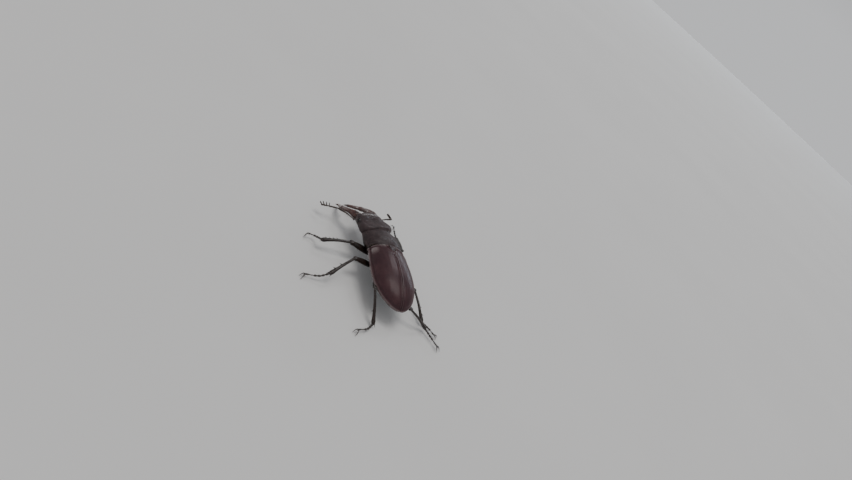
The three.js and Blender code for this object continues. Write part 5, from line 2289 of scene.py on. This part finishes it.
    def claws(self) -> Skin:
        """The two hooked claws and the small bristled lobe between them.

        Returns:
            Its skin.
        """
        across = self._level(self.ankle, self.claw_root)
        root, end = np.array(self.claw_root), np.array(self.claw_tip)
        way = self.foot.line.way(1.0)
        reach = end - root
        clay = Clay()
        for turn in (-1, 1):
            start = root + 0.1 * turn * across - 0.25 * way
            knuckle = root + 0.5 * turn * across + 0.35 * reach + [0, 0, 0.4]
            outer = root + 0.78 * turn * across + 0.85 * reach + [0, 0, 0.16]
            tip = end + 0.74 * turn * across + [0, 0, 0.05]
            hook = [start, knuckle, outer, tip]
            clay.add(Limb(hook, ((0, 0.19), (0.3, 0.19), (0.65, 0.13), (1, 0.04))), 0.08)
        lobe = root + 0.45 * reach * [1, 1, 0.3]
        clay.add(Limb([root - 0.1 * way, lobe], ((0, 0.1), (0.8, 0.11), (1, 0.07))), 0.06)
        clay.cut(beyond((0, 0, 0.0), (0, 0, -1)), 0.01)
        return clay.skin(0.045)

    def hairs(self, coat: Coat, part: int, rng: np.random.Generator) -> None:
        """Plants the leg's bristles in rows on the thigh and the shin, and pads under the foot.

        Args:
            coat: the coat.
            part: its band for this leg.
            rng: the source of chance.
        """
        beds = (
            (self.thigh, 90, (0.25, 0.95), (1.1, 1.9), (0.35, 0.7), 0.03),
            (self.thigh, 50, (0.3, 0.98), (0.1, 0.9), (0.25, 0.5), 0.026),
            (self.shin, 120, (0.15, 0.97), (1.15, 1.85), (0.3, 0.6), 0.028),
            (self.shin, 90, (0.2, 0.98), (0.0, 1.0), (0.25, 0.5), 0.026),
            (self.foot, 150, (0.04, 0.97), (1.15, 1.85), (0.2, 0.42), 0.026),
            (self.foot, 50, (0.04, 0.97), (0.0, 1.0), (0.18, 0.35), 0.022),
        )
        for k, (limb, count, stretch, arc, length, thick) in enumerate(beds):
            share = rng.uniform(*stretch, count)
            angle = rng.uniform(*arc, count) * np.pi
            up = np.sign(limb.axes[1][LINE_SAMPLES // 2] @ np.array(UP))
            roots, out = limb.spot(share, angle * up)
            places = np.stack([(k + share) / len(beds), angle / (2 * np.pi)], 1)
            ways = 0.55 * out + limb.line.way(share)
            coat.grow(part, roots - 0.06 * out, ways, places, length, thick, (0, 0, -0.05))
        coat.corners[-2][..., 2] = np.maximum(coat.corners[-2][..., 2], 0.02)

    def build(self, finish: Material) -> None:
        """Makes the five lengths.

        Args:
            finish: the legs' finish.
        """
        made = {"coxa": ("hip", self.hip), "femur": ("thigh", self.femur), "tibia": ("shin", self.tibia),
                "tarsus": ("foot", self.tarsus), "claws": ("hooks", self.claws)}
        for node, (label, model) in made.items():
            model().piece(f"{label}_{self.name}", BODY, finish, Slot.LEG, [f"{node}_{self.name}"])


FRONT = LegSizes(3.0, 2.7, 1.35, 4)
MIDDLE = LegSizes(3.0, 2.4, 1.2, 2)
HIND = LegSizes(3.0, 2.3, 1.2, 1)


def all_legs() -> list[Leg]:
    """The six legs where they stand.

    Returns:
        The legs, left ones first.
    """
    return [
        Leg("front_left", FRONT, (2.6, 2.6, 3.9), (3.2, 12.2, 5.9), (2.2, 23, 3.8),
            (5.3, 23.8, 1.9), (5.6, 26.9, 1.9), (5.6, 27.2, 0)),
        Leg("middle_left", MIDDLE, (-3.4, 2.9, 3.7), (-6, 13.4, 7.1), (-13, 22.4, 3.6),
            (-13.8, 25.6, 2), (-13.7, 30.4, 1), (-15, 32.1, 0)),
        Leg("hind_left", HIND, (-10, 3.2, 3.5), (-18, 8.3, 7.5), (-28.1, 7.3, 1.3),
            (-30.8, 10.1, 1.2), (-32.2, 14, 1.3), (-33.5, 15.3, 0)),
        Leg("front_right", FRONT, (2.6, -2.6, 3.9), (8.2, -11.4, 6.1), (18.8, -14.2, 2.4),
            (22.9, -15, 1.9), (26.9, -16, 1.5), (28.8, -16.8, 0)),
        Leg("middle_right", MIDDLE, (-3.4, -2.9, 3.7), (-11, -12.4, 5.3), (-21.3, -15.1, 1.5),
            (-23.3, -18.3, 0.9), (-25.8, -19.6, 1.1), (-26.3, -21.2, 0)),
        Leg("hind_right", HIND, (-10, -3.2, 3.5), (-22, -6.7, 6.2), (-24.3, -15.5, 1.7),
            (-27.7, -17.7, 1.2), (-30.6, -18.9, 1.3), (-32.3, -20, 0)),
    ]


# ---------------- studio
@dataclass(frozen=True)
class Lamp:
    """A soft lamp. `way` leads to it from the beetle, as (forward, left, up). Lengths are in metres."""

    name: str
    way: Triple
    distance: float
    size: tuple[float, float]
    watts: float
    colour: Colour

    def hang(self) -> None:
        """Hangs it so that it faces the beetle."""
        data = bpy.data.lights.new(self.name, "AREA")
        data.shape = "RECTANGLE"
        data.size, data.size_y = self.size
        data.energy = self.watts
        data.color = self.colour
        lamp = bpy.data.objects.new(self.name, data)
        lamp.visible_camera = False
        forward, left, up = unit(np.array(self.way, float)) * self.distance
        z = unit(np.array([left, -forward, up]))
        overhead = abs(z[2]) >= 0.99
        x = np.array([1.0, 0, 0]) if overhead else unit(np.cross([0, 0, 1.0], z))
        turn = Matrix([[*row] for row in np.stack([x, np.cross(z, x), z], 1)]).to_4x4()
        lamp.matrix_world = Matrix.Translation((left, -forward, up)) @ turn
        bpy.context.scene.collection.objects.link(lamp)


@dataclass
class Studio:
    """The wide pale floor, the soft lights and the camera. The floor's lengths are metres."""

    floor_start: float = 0.03
    floor_radius: float = 2.6
    floor_rings: int = 30
    floor_sides: int = 128
    floor_tone: Colour = (0.80, 0.79, 0.78)
    floor_cloud: float = 0.96
    air_tone: Colour = (0.89, 0.90, 0.92)
    air_low: float = 0.69
    air_high: float = 0.46
    air_heights: tuple[float, float] = (0.06, 0.22)
    lamps: tuple[Lamp, ...] = (
        Lamp("sky_low", (0.64, -0.77, 0.24), 4.2, (1.9, 0.28), 15.0, (0.78, 0.89, 1.0)),
        Lamp("sky_high", (0.1, -0.1, 1.0), 5.0, (2.6, 2.6), 72.0, (1.0, 0.98, 0.95)),
        Lamp("window", (0.9, -0.6, 0.95), 4.4, (0.96, 0.96), 16.0, (0.94, 0.97, 1.0)),
    )

    azimuth: float = 138.8606
    elevation: float = 32.2292
    distance: float = 239.2048
    roll: float = 42.3158
    target: Triple = (-12.0, 0.0, 8.0)
    target_pixel: tuple[float, float] = (392.1475, 279.6098)
    frame_size: tuple[float, float] = (852.0, 480.0)
    focal: float = 700.0
    sensor: float = 36.0

    def floor(self) -> None:
        """Makes the floor as flat rings, finer near the beetle."""
        radii = np.geomspace(self.floor_start, self.floor_radius, self.floor_rings)
        sides = self.floor_sides
        around = np.linspace(0, 2 * np.pi, sides, endpoint=False)
        points = [(0.0, 0.0, 0.0)]
        for radius in radii:
            points += [(radius * math.cos(a), radius * math.sin(a), 0.0) for a in around]
        faces: list[Sequence[int]] = [(0, 1 + (k + 1) % sides, 1 + k) for k in range(sides)]
        faces += grid_faces(len(radii), sides, 1, closed=True)
        mesh = bpy.data.meshes.new("studio_floor")
        mesh.from_pydata(points, [], faces)
        mesh.flip_normals()
        mesh.shade_smooth()
        material, n, shader = new_material("studio_paper")
        cloud = n.add("TexNoise", {"Vector": n.place(), "Scale": 9.0, "Detail": 4.0})
        share = n.between(cloud.outputs["Fac"], 0.3, 0.7)
        soft = tuple(self.floor_cloud * c for c in self.floor_tone)
        n.join(shader.inputs["Base Color"], n.blend(share, soft, self.floor_tone))
        shader.inputs["Roughness"].default_value = 0.85
        mesh.materials.append(material)
        made = bpy.data.objects.new("studio_floor", mesh)
        bpy.context.scene.collection.objects.link(made)

    def lights(self) -> None:
        """Hangs the lamps and fills the room with soft light, a little paler low down."""
        for lamp in self.lamps:
            lamp.hang()
        world = bpy.data.worlds.new("studio_air")
        world.use_nodes = True
        n = Nodes(world.node_tree)
        air = world.node_tree.nodes["Background"]
        n.join(air.inputs["Color"], self.air_tone)
        way = n.add("TexCoord").outputs["Generated"]
        height = n.add("SeparateXYZ", {"Vector": way}).outputs["Z"]
        n.join(air.inputs["Strength"], n.between(height, *self.air_heights, self.air_low, self.air_high))
        bpy.context.scene.world = world

    def camera(self) -> None:
        """Stands the camera where it looks down over the left hip, rolled a little."""
        az, el, roll = (math.radians(v) for v in (self.azimuth, self.elevation, self.roll))
        back = np.array([math.cos(el) * math.cos(az), math.cos(el) * math.sin(az), math.sin(el)])
        place = np.array(self.target) + back * self.distance
        level = unit(np.cross(UP, back))
        upright = np.cross(back, level)
        right = math.cos(roll) * level + math.sin(roll) * upright
        top = -math.sin(roll) * level + math.cos(roll) * upright
        axes = np.stack([right, top, back])
        across, down = self.target_pixel
        wide, high = self.frame_size
        ray = unit(np.array([(across - wide / 2) / self.focal, -(down - high / 2) / self.focal, -1.0]))
        ahead = np.array([0.0, 0.0, -1.0])
        v = np.cross(ahead, ray)
        skew = np.array([[0, -v[2], v[1]], [v[2], 0, -v[0]], [-v[1], v[0], 0]])
        axes = (np.eye(3) + skew + skew @ skew / (1 + ahead @ ray)) @ axes
        turn = np.stack([[left, -forward, up] for forward, left, up in axes], 1)
        data = bpy.data.cameras.new("camera")
        data.sensor_width = self.sensor
        data.lens = self.focal * self.sensor / wide
        data.clip_start, data.clip_end = 0.01, 20.0
        camera = bpy.data.objects.new("camera", data)
        camera.matrix_world = Matrix.Translation(BODY.metres(place)[0]) @ Matrix(turn.tolist()).to_4x4()
        bpy.context.scene.collection.objects.link(camera)
        bpy.context.scene.camera = camera


# ---------------- the beetle
@dataclass
class Beetle:
    """The whole beetle."""

    dome: Dome = field(default_factory=Dome)

    def build(self) -> None:
        """Builds the sub-assemblies in order."""
        finish = Palette().mixed()
        scutellum = Scutellum(self.dome)
        scutellum.build(finish["shell"])
        WingCases(self.dome, scutellum).build(finish["case"])
        Trunk(self.dome).build(finish["belly"], finish["gold"])
        Prothorax().build(finish["shell"], finish["belly"], finish["gold"])
        Head().build(finish["shell"], finish["eye"], finish["jaw"])
        Jaws().build(finish["jaw"])
        feelers = [
            Feeler("left", (8.6, 6, -1), (15.9, 7.7, -2.5), (16.3, 11.6, -2.2), (18.5, 14.1, -3.4)),
            Feeler("right", (8.6, -6, -1), (8.2, -12.6, 0.3), (10.4, -15.1, -1.1), (12.5, -16.9, -2.1)),
        ]
        coat, rng = Coat.seeded(len(feelers), 41)
        for part, feeler in enumerate(feelers):
            feeler.build(finish["feeler"])
            feeler.hairs(coat, part, rng)
        coat.skin().piece("feeler_down", HEAD, finish["dark"], Slot.FEELER)
        Mouth().build(finish["feeler"], finish["gold"])
        legs = all_legs()
        coat, rng = Coat.seeded(len(legs), 51)
        for part, leg in enumerate(legs):
            leg.build(finish["leg"])
            leg.hairs(coat, part, rng)
        coat.skin().piece("leg_bristles", BODY, finish["dark"], Slot.LEG)


def main() -> None:
    """Builds the beetle in its studio and writes down its size."""
    logging.basicConfig(level=logging.INFO, format="%(name)s: %(message)s")
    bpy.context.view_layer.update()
    studio = Studio()
    studio.camera()
    studio.floor()
    studio.lights()
    Beetle().build()


if __name__ == "__main__":
    main()
